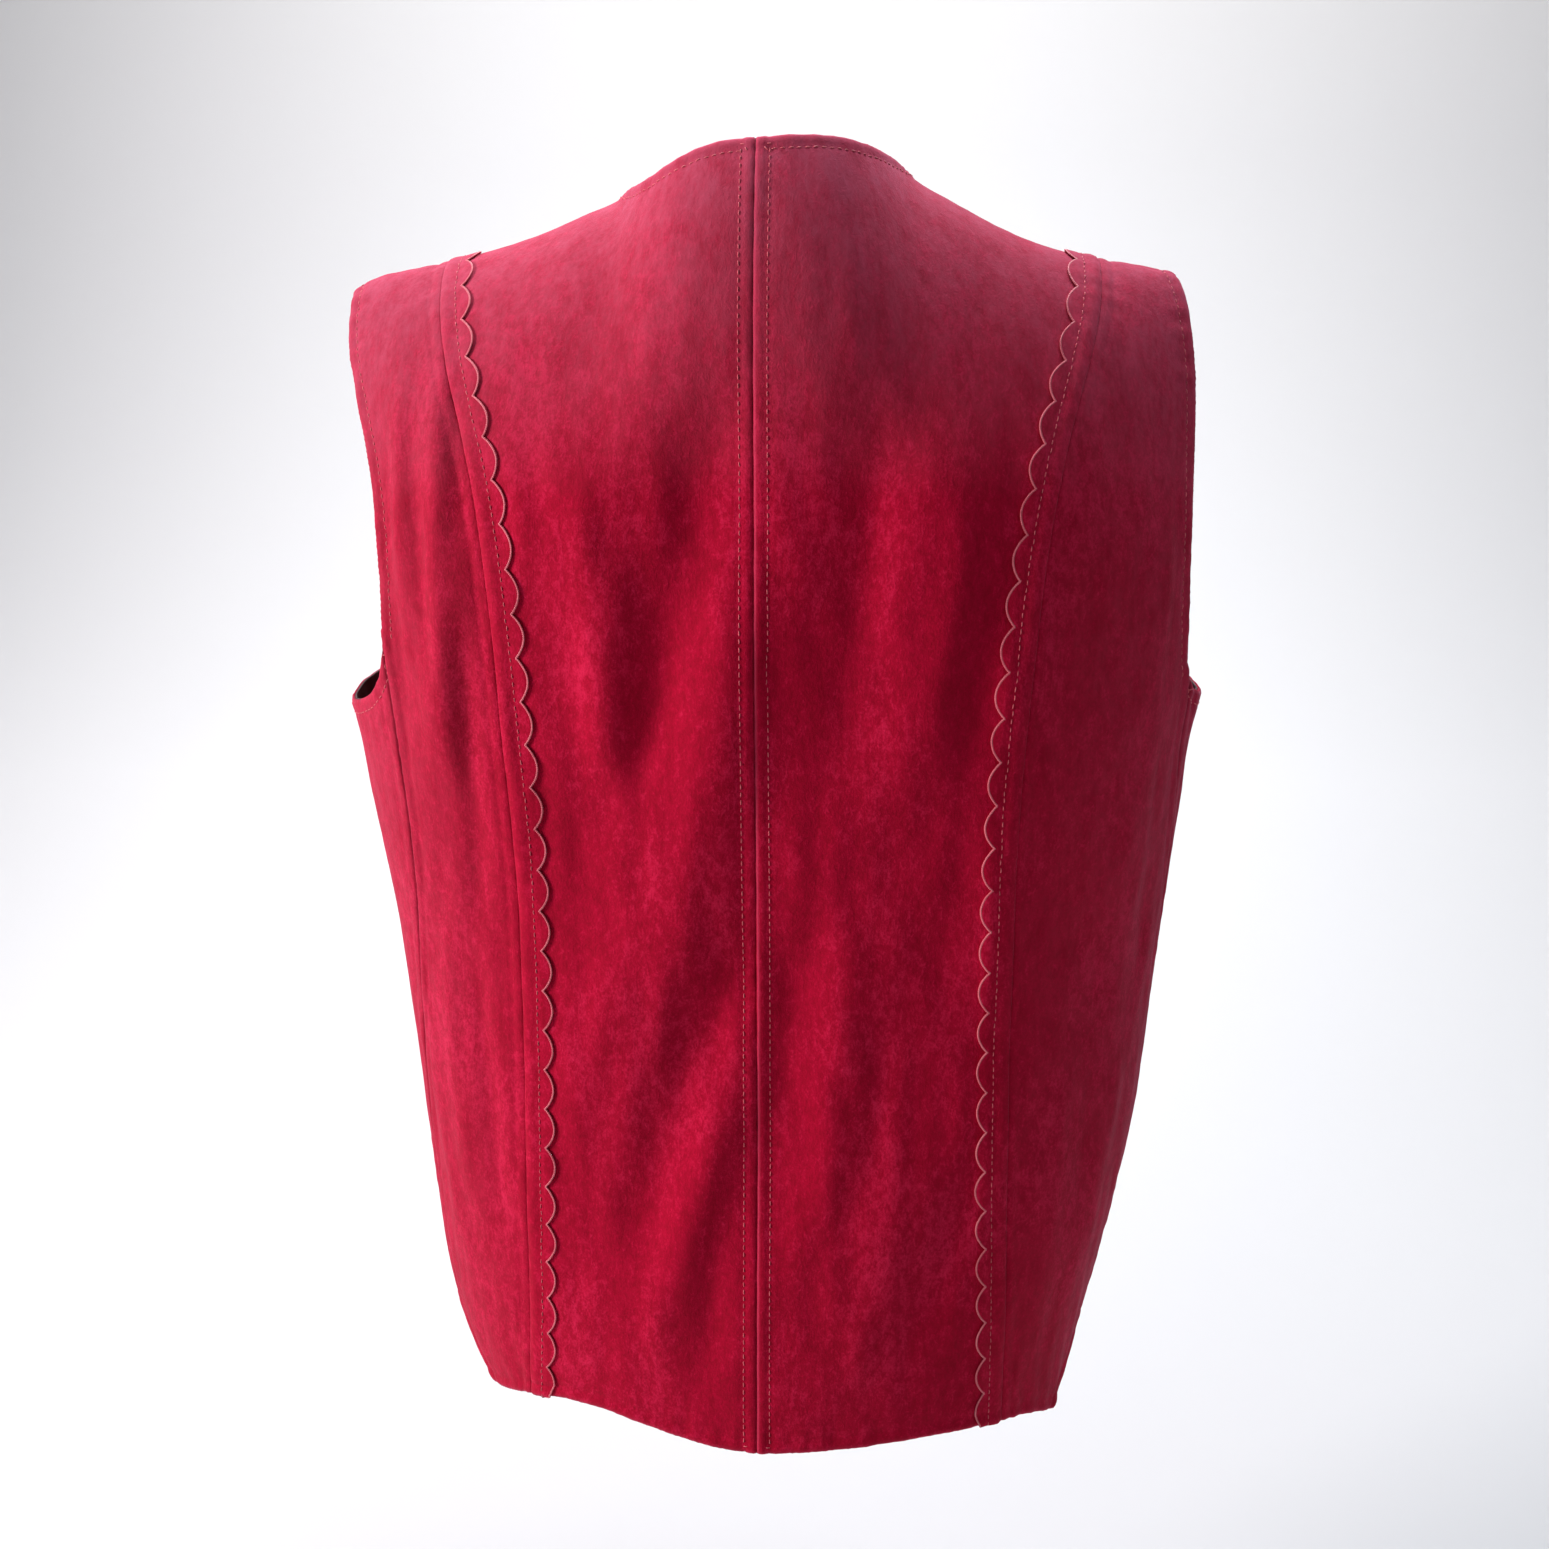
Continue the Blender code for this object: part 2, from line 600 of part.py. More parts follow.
class Sheet:
    """Triangles over shared points, which a wall is raised from."""

    def __init__(self):
        self.index = {}
        self.place = []
        self.out = []
        self.triangles = []

    def point(self, place, out):
        """The number of a point, the same for points that coincide."""
        key = tuple(np.round(place, 7))
        if key not in self.index:
            self.index[key] = len(self.place)
            self.place.append(place)
            self.out.append(out)
        return self.index[key]

    def add(self, grid, flip, rows=slice(None), cols=slice(None)):
        """Adds a grid's cells. `flip` turns the triangles to face out."""
        place = grid.place[rows, cols]
        out = grid.out[rows, cols]
        number = [
            [self.point(p, n) for p, n in zip(row, ways)] for row, ways in zip(place, out)
        ]
        for j in range(len(number) - 1):
            for i in range(len(number[0]) - 1):
                a, b = number[j][i], number[j][i + 1]
                c, d = number[j + 1][i + 1], number[j + 1][i]
                for triangle in ((a, b, c), (a, c, d)):
                    if len(set(triangle)) == 3:
                        self.triangles.append(triangle[::-1] if flip else triangle)

    def wall(self, name, low, high, finish):
        """A closed wall from `low` to `high` along the ways out."""
        place = np.array(self.place)
        out = np.array(self.out)
        mesh = bpy.data.meshes.new(name)
        body = bmesh.new()
        top = [body.verts.new(p) for p in place + out * high]
        base = [body.verts.new(p) for p in place + out * low]
        rims = {}
        for triangle in self.triangles:
            body.faces.new([top[i] for i in triangle])
            body.faces.new([base[i] for i in reversed(triangle)])
            for i, j in zip(triangle, triangle[1:] + triangle[:1]):
                if (j, i) in rims:
                    del rims[(j, i)]
                else:
                    rims[(i, j)] = True
        for i, j in rims:
            body.faces.new([top[j], top[i], base[i]])
            body.faces.new([top[j], base[i], base[j]])
        body.to_mesh(mesh)
        body.free()
        mesh.shade_smooth()
        mesh.set_sharp_from_angle(angle=math.radians(40))
        return placed(name, mesh, finish)


def placed(name, mesh, finish):
    """An object in the vest's collection, with its own finish."""
    thing = bpy.data.objects.new(name, mesh)
    bpy.data.collections["vest"].objects.link(thing)
    mesh.materials.append(finish)
    return thing


def finish_of(name, colour, roughness):
    """A plain finish of one colour."""
    finish = bpy.data.materials.new(name)
    finish.use_nodes = True
    shader = finish.node_tree.nodes["Principled BSDF"]
    shader.inputs["Base Color"].default_value = (*colour, 1.0)
    shader.inputs["Roughness"].default_value = roughness
    return finish


def side_name(side):
    """The side's name, as the garment is worn with its front to +Y."""
    return {LEFT: "left", RIGHT: "right"}[side]


def make_centre_back(side, finish):
    """One centre back panel."""
    grid = centre_back_grid(side)
    parted(grid.place, col=0)
    parted(grid.place, col=grid.place.shape[1] - 1)
    parted(grid.place, row=len(grid.place) - 1, start=NECK_COLUMNS)
    sheet = Sheet()
    sheet.add(grid, flip=side == LEFT)
    sheet.wall("centre_back_" + side_name(side), -CLOTH, 0.0, finish)
    return grid


def make_side_back(side, finish, lining):
    """One side back panel, and the lining along its armhole."""
    grid = side_back_grid(side)
    parted(grid.place, col=0)
    parted(grid.place, col=SIDE_BACK_COLUMNS)
    parted(grid.place, row=len(grid.place) - 1)
    sheet = Sheet()
    sheet.add(grid, flip=side == LEFT)
    sheet.wall("side_back_" + side_name(side), -CLOTH, 0.0, finish)
    rows = slice(len(row_shares()) - 1 - LINING_ROWS, None)
    band = Sheet()
    band.add(grid, side == LEFT, rows, slice(SIDE_BACK_COLUMNS - LINING_COLUMNS, None))
    band.wall("lining_back_" + side_name(side), LINING_OUT - LINING_CLOTH, LINING_OUT, lining)


def make_front(side, finish, lining):
    """One front, in one piece from side seam to lapped edge, and its armhole lining."""
    lower, upper = front_grids(side)
    parted(lower.place, col=lower.place.shape[1] - 1)
    parted(upper.place, row=UPPER_ROWS)
    sheet = Sheet()
    sheet.add(lower, flip=side == RIGHT)
    sheet.add(upper, flip=side == RIGHT)
    sheet.wall("front_" + side_name(side), -CLOTH, 0.0, finish)
    rows = slice(len(row_shares()) - 1 - LINING_ROWS, None)
    cols = slice(FRONT_COLUMNS - LINING_COLUMNS, None)
    band = Sheet()
    band.add(lower, side == RIGHT, rows, cols)
    band.add(upper, side == RIGHT, slice(None), cols)
    band.wall("lining_front_" + side_name(side), LINING_OUT - LINING_CLOTH, LINING_OUT, lining)


def in_cell(corners, along, aside):
    """A value inside a cell split as the panels' cells are, from its four corners."""
    here, over, far, up = corners
    if aside >= along:
        return here + (over - here) * aside + (far - over) * along
    return here + (up - here) * along + (far - up) * aside


def make_scallop_strip(side, panel, finish):
    """The strip caught in a princess seam, its free edge cut in scallops."""
    last = panel.place.shape[1] - 1
    seam = panel.place[:, last]
    length = np.append(0.0, np.cumsum(np.linalg.norm(np.diff(seam, axis=0), axis=-1)))
    count = int(length[-1] / SCALLOP_PITCH) * SCALLOP_STEPS
    rows = []
    ways = []
    for step in range(count + 1):
        at = step * length[-1] / count
        row = min(int(np.searchsorted(length, at, side="right")) - 1, len(length) - 2)
        along = (at - length[row]) / (length[row + 1] - length[row])
        swell = abs(math.sin(math.pi * step / SCALLOP_STEPS))
        points = []
        outs = []
        for field, found in ((panel.place, points), (panel.out, outs)):
            corners = (
                field[row, last - 1],
                field[row, last],
                field[row + 1, last],
                field[row + 1, last - 1],
            )
            width = np.linalg.norm(panel.place[row, last] - panel.place[row, last - 1])
            reach = (SCALLOP_ROOT + SCALLOP_DEPTH * swell) / width
            for aside in (1 - reach, 1.0):
                found.append(in_cell(corners, along, aside))
        rows.append(points)
        ways.append([n / np.linalg.norm(n) for n in outs])
    sheet = Sheet()
    sheet.add(Grid(np.array(rows), np.array(ways)), flip=side == LEFT)
    low = SEAM_GAP
    sheet.wall("scallop_strip_" + side_name(side), low, low + STRIP_CLOTH, finish)


def make_buttons(finish):
    """Round buttons down the lapped front, each a turned disc with a rim."""
    heights = np.linspace(NECKLINE_HEIGHT - 0.018, 0.055, BUTTON_COUNT)
    for number, height in enumerate(heights, start=1):
        around = np.array([2.0])
        wrap = wrap_of(RIGHT, around, height)
        place = surface(RIGHT, around, wrap)[0]
        out = faces_out(RIGHT, around, wrap)[0]
        lift = 0.0005 + BUTTON_THICKNESS / 2
        bpy.ops.mesh.primitive_cylinder_add(
            vertices=24, radius=BUTTON_RADIUS, depth=BUTTON_THICKNESS
        )
        made = bpy.context.object
        mesh = made.data
        bpy.data.objects.remove(made)
        button = placed(f"button_{number}", mesh, finish)
        button.location = place + out * lift
        tilt = math.atan2(out[2], out[1])
        button.rotation_euler = (tilt - QUARTER, 0.0, 0.0)
        rim = button.modifiers.new("rim", "BEVEL")
        rim.width = 0.0009
        rim.segments = 2
        mesh.shade_smooth()
        mesh.set_sharp_from_angle(angle=math.radians(40))


def main():
    for thing in list(bpy.data.objects):
        bpy.data.objects.remove(thing)
    vest = bpy.data.collections.new("vest")
    bpy.context.scene.collection.children.link(vest)
    suede = finish_of("suede_cloth", (0.36, 0.012, 0.045), 0.85)
    strip = finish_of("strip_cloth", (0.38, 0.014, 0.05), 0.85)
    lining = finish_of("lining_cloth", (0.08, 0.008, 0.012), 0.5)
    button = finish_of("button_horn", (0.16, 0.01, 0.02), 0.4)
    for side in (LEFT, RIGHT):
        panel = make_centre_back(side, suede)
        make_side_back(side, suede, lining)
        make_front(side, suede, lining)
        make_scallop_strip(side, panel, strip)
    make_buttons(button)


if __name__ == "__main__":
    main()
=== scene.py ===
"""Looks of a sleeveless vest of crimson suede cloth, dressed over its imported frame."""

import logging
import math
from dataclasses import dataclass, field
from enum import Enum, IntEnum
from typing import Any, ClassVar, NamedTuple, Sequence

import bmesh
import bpy
import numpy as np
from mathutils import Matrix, Vector
from mathutils.bvhtree import BVHTree


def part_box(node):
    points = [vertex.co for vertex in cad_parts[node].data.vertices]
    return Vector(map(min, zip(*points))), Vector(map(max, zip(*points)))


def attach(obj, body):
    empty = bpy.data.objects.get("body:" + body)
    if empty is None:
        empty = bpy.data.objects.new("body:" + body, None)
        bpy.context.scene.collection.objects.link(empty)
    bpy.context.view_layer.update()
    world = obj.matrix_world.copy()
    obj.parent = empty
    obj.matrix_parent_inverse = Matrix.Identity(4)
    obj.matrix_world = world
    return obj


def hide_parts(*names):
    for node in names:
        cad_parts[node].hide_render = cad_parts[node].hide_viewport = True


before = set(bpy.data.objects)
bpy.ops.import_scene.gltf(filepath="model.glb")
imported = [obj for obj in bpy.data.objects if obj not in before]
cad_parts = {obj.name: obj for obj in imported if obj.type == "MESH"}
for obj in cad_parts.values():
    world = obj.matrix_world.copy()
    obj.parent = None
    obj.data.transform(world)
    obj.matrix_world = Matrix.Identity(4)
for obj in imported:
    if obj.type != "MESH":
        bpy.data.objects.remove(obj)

log = logging.getLogger("vest")

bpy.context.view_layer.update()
QUARTER = math.pi / 2

# Lengths and heights are in metres, heights from the hem up
MILLIMETRE = 0.001
BACK_LENGTH = 0.608
HEM_Z = -BACK_LENGTH
NECK_HALF_WIDTH = 0.066
NECK_BACK_HEIGHT = 0.606
SHOULDER_ROUND = 0.165
VENT_HEIGHT = 0.032
VENT_WIDTH = 0.140
UNDERARM_HEIGHT = 0.361
NECKLINE_HEIGHT = 0.398
FRONT_TURN_HEM = 1.22
OVERLAP_HALF = 0.012
UNDERLAP_DEPTH = 0.0023
CLOTH = 0.0016
LINING_CLOTH = 0.001
SEAM_GAP = 0.0003
SEAM_OVERLAP = 0.00035
SCALLOP_PITCH = 0.0198
SCALLOP_ROOT = 0.0112
SCALLOP_DEPTH = 0.0048
BUTTON_RADIUS = 0.009
SEAM_STITCH_LINE = 0.0066
EDGE_STITCH_LINE = 0.0070
# Mesh steps grow by this from the finest, at sewn edges
FINEST_STEP = 0.00042
STEP_GROWTH = 1.32
# The cloth's swell under the arm: how far out, where, and how wide
LIP_RISE = 0.0024
LIP_HEIGHT = 0.364
LIP_DEEP = 0.016
LIP_AROUND = 0.93
LIP_WIDE = 0.17
FOLD_DEPTH = 1.15
FOLD_SPREAD = 1.45
FOLD_FADE = 0.030
# How far round the hem's lifted stretch ends and the vent's corner lies
HEM_WAVE_END = 0.72
CORNER_AROUND = 0.80
CORNER_WIDE = 0.12
# Where the cloth is pale with wear beside its free edges, where a painted highlight lies
# beside the centre-back seam, and how wide the painted seam shade is
SEAM_SHADE_WIDE = 0.0006
CENTRE_HIGHLIGHT_AT = 0.0011
CENTRE_HIGHLIGHT_WIDE = 0.0005
EDGE_WEAR = 0.7
EDGE_WEAR_WIDE = 0.0014
# Rounds that a place on the form takes to settle
ROUNDS = 8


class Side(IntEnum):
    """The two sides of the vest, as its wearer has them."""

    LEFT = -1
    RIGHT = 1


class Edge(Enum):
    """What a panel's edge is."""

    SEAM = "seam"
    FREE = "free"
    ARMHOLE = "armhole"


class Section(NamedTuple):
    """A level section through the filled vest, `height` above the hem."""

    height: float
    left_width: float
    right_width: float
    back_depth: float
    front_depth: float
    centre_y: float
    flatness: float


SECTIONS = (
    Section(0.000, 0.160, 0.160, 0.090, 0.088, 0.008, 1.85),
    Section(0.030, 0.169, 0.165, 0.090, 0.090, 0.008, 1.90),
    Section(0.060, 0.175, 0.172, 0.089, 0.092, 0.008, 2.00),
    Section(0.100, 0.180, 0.181, 0.088, 0.094, 0.008, 2.12),
    Section(0.150, 0.185, 0.190, 0.086, 0.098, 0.008, 2.25),
    Section(0.200, 0.190, 0.195, 0.085, 0.106, 0.008, 2.32),
    Section(0.250, 0.196, 0.200, 0.086, 0.118, 0.008, 2.35),
    Section(0.300, 0.204, 0.205, 0.088, 0.128, 0.006, 2.35),
    Section(0.350, 0.211, 0.210, 0.091, 0.132, 0.005, 2.35),
    Section(0.400, 0.216, 0.215, 0.093, 0.128, 0.005, 2.35),
    Section(0.450, 0.218, 0.218, 0.095, 0.116, 0.005, 2.35),
    Section(0.520, 0.217, 0.217, 0.095, 0.100, 0.003, 2.35),
    Section(0.670, 0.214, 0.214, 0.095, 0.090, 0.000, 2.35),
)
FRONT_FLATNESS = 2.6


class Crest(NamedTuple):
    """The crest of the shoulder and of the neck, at a distance from the middle."""

    across: float
    left: float
    right: float
    y: float


CRESTS = (
    Crest(0.000, 0.060, 0.060, 0.000),
    Crest(0.020, 0.055, 0.055, 0.000),
    Crest(0.040, 0.035, 0.038, 0.000),
    Crest(0.055, 0.009, 0.016, 0.000),
    Crest(0.066, -0.0065, 0.0005, 0.000),
    Crest(0.080, -0.0140, -0.0095, -0.001),
    Crest(0.100, -0.0220, -0.0205, -0.002),
    Crest(0.125, -0.0300, -0.0320, -0.003),
    Crest(0.150, -0.036, -0.039, -0.004),
    Crest(0.178, -0.041, -0.044, -0.005),
    Crest(0.199, -0.048, -0.051, -0.006),
    Crest(0.220, -0.068, -0.068, -0.006),
)


class SidedPoint(NamedTuple):
    """A value on the left and on the right, `height` above the hem."""

    height: float
    left: float
    right: float


# How far from centre back the princess seams lie
PRINCESS_SEAM = (
    SidedPoint(0.000, 0.1175, 0.1195),
    SidedPoint(0.060, 0.1150, 0.1195),
    SidedPoint(0.120, 0.1140, 0.1185),
    SidedPoint(0.220, 0.1130, 0.1175),
    SidedPoint(0.300, 0.1140, 0.1175),
    SidedPoint(0.360, 0.1180, 0.1205),
    SidedPoint(0.420, 0.1220, 0.1265),
    SidedPoint(0.460, 0.1275, 0.1325),
    SidedPoint(0.500, 0.1380, 0.1420),
    SidedPoint(0.530, 0.1460, 0.1500),
    SidedPoint(0.575, 0.1530, 0.1550),
)
# How far round the side seams lie, 1 being the side
SIDE_SEAM = (
    SidedPoint(0.000, 0.865, 0.935),
    SidedPoint(0.070, 0.845, 0.945),
    SidedPoint(0.150, 0.790, 0.940),
    SidedPoint(0.226, 0.720, 0.915),
    SidedPoint(0.290, 0.650, 0.865),
    SidedPoint(0.340, 0.632, 0.815),
    SidedPoint(0.374, 0.636, 0.794),
    SidedPoint(0.390, 0.638, 0.785),
)


class EdgePoint(NamedTuple):
    """A point of an armhole's edge: how far round, and the height above the hem."""

    around: float
    height: float


def edge_points(*places: tuple[float, float]) -> tuple[EdgePoint, ...]:
    """The points of an armhole's edge, in order."""
    return tuple(EdgePoint(*place) for place in places)


SHOULDER_TIP = {Side.LEFT: 0.775, Side.RIGHT: 0.690}
NECK_DIP = {Side.LEFT: 0.0078, Side.RIGHT: -0.0020}
NECK_DIP_LATE = {Side.LEFT: 2.4, Side.RIGHT: 1.0}
HEM_LIFT = {Side.LEFT: 0.0125, Side.RIGHT: 0.0030}
CORNER_DROP = {Side.LEFT: 0.0010, Side.RIGHT: 0.0085}
ARMHOLE_BACK = {
    Side.LEFT: edge_points(
        (0.638, 0.390), (0.630, 0.412), (0.631, 0.437), (0.643, 0.465),
        (0.683, 0.493), (0.733, 0.518), (0.764, 0.540),
    ),
    Side.RIGHT: edge_points(
        (0.794, 0.374), (0.777, 0.383), (0.762, 0.396), (0.744, 0.420),
        (0.733, 0.450), (0.732, 0.480), (0.738, 0.510), (0.726, 0.538),
    ),
}
ARMHOLE_UNDER = {
    Side.LEFT: edge_points(
        (1.285, 0.3980), (1.268, 0.3905), (1.240, 0.3850), (1.190, 0.3790),
        (1.110, 0.3720), (1.035, 0.3670), (0.960, 0.3615), (0.867, 0.3592),
        (0.765, 0.3610), (0.700, 0.3660), (0.659, 0.3755), (0.638, 0.3900),
    ),
    Side.RIGHT: edge_points(
        (1.285, 0.3980), (1.268, 0.3905), (1.240, 0.3855), (1.190, 0.3800),
        (1.130, 0.3755), (1.060, 0.3710), (1.000, 0.3680), (0.950, 0.3662),
        (0.900, 0.3655), (0.855, 0.3664), (0.820, 0.3692), (0.794, 0.3740),
    ),
}
ARMHOLE_FRONT = edge_points(
    (1.285, 0.398), (1.330, 0.430), (1.340, 0.465), (1.315, 0.500),
    (1.270, 0.532),
)


class Fold(NamedTuple):
    """A soft fold through three places from its top down, `around` negative on the left."""

    around_0: float
    height_0: float
    around_1: float
    height_1: float
    around_2: float
    height_2: float
    width: float
    rise: float


FOLDS = (
    # Left side back, from the armhole down
    Fold(-0.565, 0.520, -0.544, 0.464, -0.562, 0.396, 0.012, 0.0026),
    Fold(-0.466, 0.504, -0.461, 0.428, -0.512, 0.331, 0.014, 0.0045),
    # Left centre back
    Fold(-0.300, 0.415, -0.260, 0.343, -0.265, 0.276, 0.014, -0.0030),
    Fold(-0.234, 0.462, -0.207, 0.393, -0.209, 0.325, 0.014, 0.0028),
    Fold(-0.060, 0.491, -0.098, 0.402, -0.197, 0.316, 0.015, -0.0038),
    Fold(-0.030, 0.415, -0.068, 0.321, -0.156, 0.229, 0.016, 0.0042),
    Fold(-0.033, 0.244, -0.136, 0.170, -0.222, 0.094, 0.015, -0.0042),
    # Right centre back
    Fold(0.159, 0.495, 0.139, 0.423, 0.083, 0.322, 0.018, -0.0036),
    Fold(0.270, 0.466, 0.262, 0.402, 0.227, 0.321, 0.018, 0.0030),
    Fold(0.060, 0.254, 0.048, 0.182, 0.023, 0.109, 0.015, -0.0034),
    Fold(0.378, 0.397, 0.360, 0.325, 0.378, 0.224, 0.016, 0.0028),
    # Right side back
    Fold(0.587, 0.454, 0.638, 0.364, 0.670, 0.267, 0.022, 0.0026),
    Fold(0.534, 0.270, 0.602, 0.193, 0.640, 0.115, 0.020, -0.0020),
    # Fronts
    Fold(-1.220, 0.330, -1.150, 0.220, -1.100, 0.120, 0.022, 0.0032),
    Fold(-1.450, 0.240, -1.400, 0.140, -1.380, 0.050, 0.024, 0.0030),
    Fold(-1.620, 0.210, -1.600, 0.120, -1.600, 0.040, 0.020, -0.0024),
    Fold(-1.700, 0.360, -1.580, 0.300, -1.480, 0.220, 0.020, -0.0022),
    Fold(1.250, 0.330, 1.180, 0.220, 1.140, 0.110, 0.022, 0.0030),
    Fold(1.420, 0.250, 1.380, 0.150, 1.360, 0.050, 0.022, 0.0032),
    Fold(1.640, 0.220, 1.620, 0.130, 1.610, 0.050, 0.022, -0.0026),
    Fold(1.720, 0.350, 1.600, 0.290, 1.500, 0.210, 0.020, -0.0024),
)

# Finer creases, which the solids leave out
CREASES = (
    # Left side back
    Fold(-0.433, 0.510, -0.426, 0.481, -0.420, 0.440, 0.007, -0.0022),
    Fold(-0.426, 0.392, -0.441, 0.336, -0.479, 0.267, 0.008, -0.0022),
    Fold(-0.520, 0.480, -0.505, 0.430, -0.500, 0.380, 0.006, -0.0014),
    Fold(-0.600, 0.470, -0.585, 0.420, -0.590, 0.350, 0.008, -0.0015),
    Fold(-0.507, 0.216, -0.514, 0.165, -0.509, 0.103, 0.008, -0.0013),
    Fold(-0.585, 0.234, -0.610, 0.181, -0.597, 0.109, 0.011, 0.0016),
    Fold(-0.700, 0.200, -0.690, 0.140, -0.660, 0.070, 0.010, 0.0012),
    # Left centre back
    Fold(-0.330, 0.470, -0.310, 0.430, -0.290, 0.380, 0.009, 0.0013),
    Fold(-0.380, 0.400, -0.340, 0.350, -0.330, 0.290, 0.010, -0.0014),
    Fold(-0.150, 0.430, -0.140, 0.380, -0.150, 0.330, 0.009, -0.0012),
    Fold(-0.063, 0.171, -0.121, 0.107, -0.174, 0.055, 0.011, 0.0022),
    Fold(-0.030, 0.150, -0.060, 0.100, -0.090, 0.040, 0.010, -0.0018),
    Fold(-0.180, 0.270, -0.240, 0.220, -0.300, 0.160, 0.011, 0.0013),
    Fold(-0.250, 0.190, -0.290, 0.140, -0.330, 0.080, 0.011, -0.0013),
    Fold(-0.110, 0.250, -0.160, 0.210, -0.200, 0.180, 0.009, 0.0012),
    # Right centre back
    Fold(0.131, 0.259, 0.123, 0.202, 0.103, 0.129, 0.013, 0.0018),
    Fold(0.197, 0.202, 0.176, 0.158, 0.154, 0.119, 0.009, -0.0014),
    Fold(0.368, 0.136, 0.335, 0.097, 0.302, 0.056, 0.010, -0.0016),
    Fold(0.240, 0.140, 0.215, 0.090, 0.190, 0.045, 0.011, 0.0013),
    Fold(0.205, 0.480, 0.200, 0.440, 0.180, 0.390, 0.010, 0.0012),
    Fold(0.320, 0.440, 0.315, 0.390, 0.300, 0.340, 0.009, -0.0013),
    Fold(0.100, 0.400, 0.080, 0.350, 0.050, 0.300, 0.010, 0.0012),
    Fold(0.290, 0.260, 0.280, 0.210, 0.270, 0.160, 0.012, -0.0011),
    # Right side back
    Fold(0.519, 0.516, 0.524, 0.489, 0.529, 0.445, 0.012, -0.0024),
    Fold(0.620, 0.500, 0.600, 0.450, 0.585, 0.390, 0.010, -0.0012),
    Fold(0.700, 0.330, 0.735, 0.270, 0.760, 0.200, 0.012, -0.0013),
    Fold(0.560, 0.180, 0.570, 0.120, 0.580, 0.060, 0.012, 0.0014),
    Fold(0.690, 0.190, 0.705, 0.130, 0.700, 0.070, 0.012, 0.0013),
    # Fronts, in the same manner
    Fold(-1.340, 0.330, -1.300, 0.280, -1.260, 0.220, 0.010, -0.0016),
    Fold(-1.060, 0.340, -1.030, 0.290, -1.020, 0.220, 0.010, -0.0015),
    Fold(-1.540, 0.300, -1.470, 0.250, -1.420, 0.180, 0.011, 0.0016),
    Fold(-1.720, 0.150, -1.700, 0.100, -1.690, 0.050, 0.010, 0.0013),
    Fold(-1.300, 0.120, -1.280, 0.080, -1.260, 0.040, 0.010, -0.0014),
    Fold(-1.560, 0.520, -1.600, 0.470, -1.650, 0.420, 0.012, -0.0015),
    Fold(-1.460, 0.470, -1.440, 0.430, -1.430, 0.380, 0.010, 0.0014),
    Fold(1.330, 0.330, 1.310, 0.280, 1.270, 0.220, 0.010, -0.0016),
    Fold(1.070, 0.340, 1.050, 0.280, 1.030, 0.210, 0.010, -0.0014),
    Fold(1.560, 0.290, 1.500, 0.240, 1.440, 0.180, 0.011, 0.0016),
    Fold(1.730, 0.160, 1.710, 0.110, 1.700, 0.060, 0.010, 0.0013),
    Fold(1.290, 0.130, 1.270, 0.090, 1.260, 0.040, 0.010, -0.0013),
    Fold(1.570, 0.510, 1.610, 0.460, 1.640, 0.410, 0.012, -0.0015),
    Fold(1.450, 0.480, 1.440, 0.440, 1.430, 0.390, 0.010, 0.0014),
    Fold(1.860, 0.330, 1.800, 0.310, 1.740, 0.280, 0.009, -0.0012),
    Fold(1.860, 0.240, 1.800, 0.220, 1.750, 0.190, 0.009, -0.0011),
)


class Curve:
    """A natural cubic spline through the values of a table."""

    def __init__(self, keys: Sequence[float], values: Sequence[float]) -> None:
        """Solves the spline's bend at each key."""
        self.keys = np.asarray(keys, float)
        self.values = np.asarray(values, float)
        step = np.diff(self.keys)
        count = len(self.keys)
        system = np.eye(count)
        right = np.zeros(count)
        for i in range(1, count - 1):
            system[i, i - 1 : i + 2] = (step[i - 1], 2 * (step[i - 1] + step[i]), step[i])
            slopes = np.diff(self.values[i - 1 : i + 2]) / step[i - 1 : i + 1]
            right[i] = 6 * (slopes[1] - slopes[0])
        self.bend = np.linalg.solve(system, right)

    def __call__(self, at: Any) -> np.ndarray:
        """The curve's value, held at its ends."""
        at = np.clip(np.asarray(at, float), self.keys[0], self.keys[-1])
        last = len(self.keys) - 2
        i = np.clip(np.searchsorted(self.keys, at, side="right") - 1, 0, last)
        h = self.keys[i + 1] - self.keys[i]
        before = (self.keys[i + 1] - at) / h
        after = (at - self.keys[i]) / h
        curve = (before**3 - before) * self.bend[i] + (after**3 - after) * self.bend[i + 1]
        return before * self.values[i] + after * self.values[i + 1] + curve * h * h / 6


def table_curve(rows: Sequence[Any], key: str, name: str) -> Curve:
    """The smooth curve of one named column of a table over another."""
    return Curve([getattr(r, key) for r in rows], [getattr(r, name) for r in rows])


def eased(share: Any) -> np.ndarray:
    """A smooth step from 0 to 1."""
    share = np.clip(share, 0.0, 1.0)
    return share * share * (3 - 2 * share)


def unit(vectors: np.ndarray) -> np.ndarray:
    """The vectors scaled to length 1."""
    return vectors / np.maximum(np.linalg.norm(vectors, axis=-1, keepdims=True), 1e-12)


def bell(distance: Any, width: float) -> np.ndarray:
    """A bump round 0, 1 high."""
    return np.exp(-((distance / width) ** 2))


def lengths_along(line: np.ndarray) -> np.ndarray:
    """How far along a polyline each of its points lies."""
    return np.append(0.0, np.cumsum(np.linalg.norm(np.diff(line, axis=0), axis=-1)))


def read_off(line: np.ndarray, length: np.ndarray, at: np.ndarray) -> np.ndarray:
    """A polyline's places, or other vectors along it, at given lengths."""
    return np.stack([np.interp(at, length, line[:, k]) for k in range(3)], axis=-1)


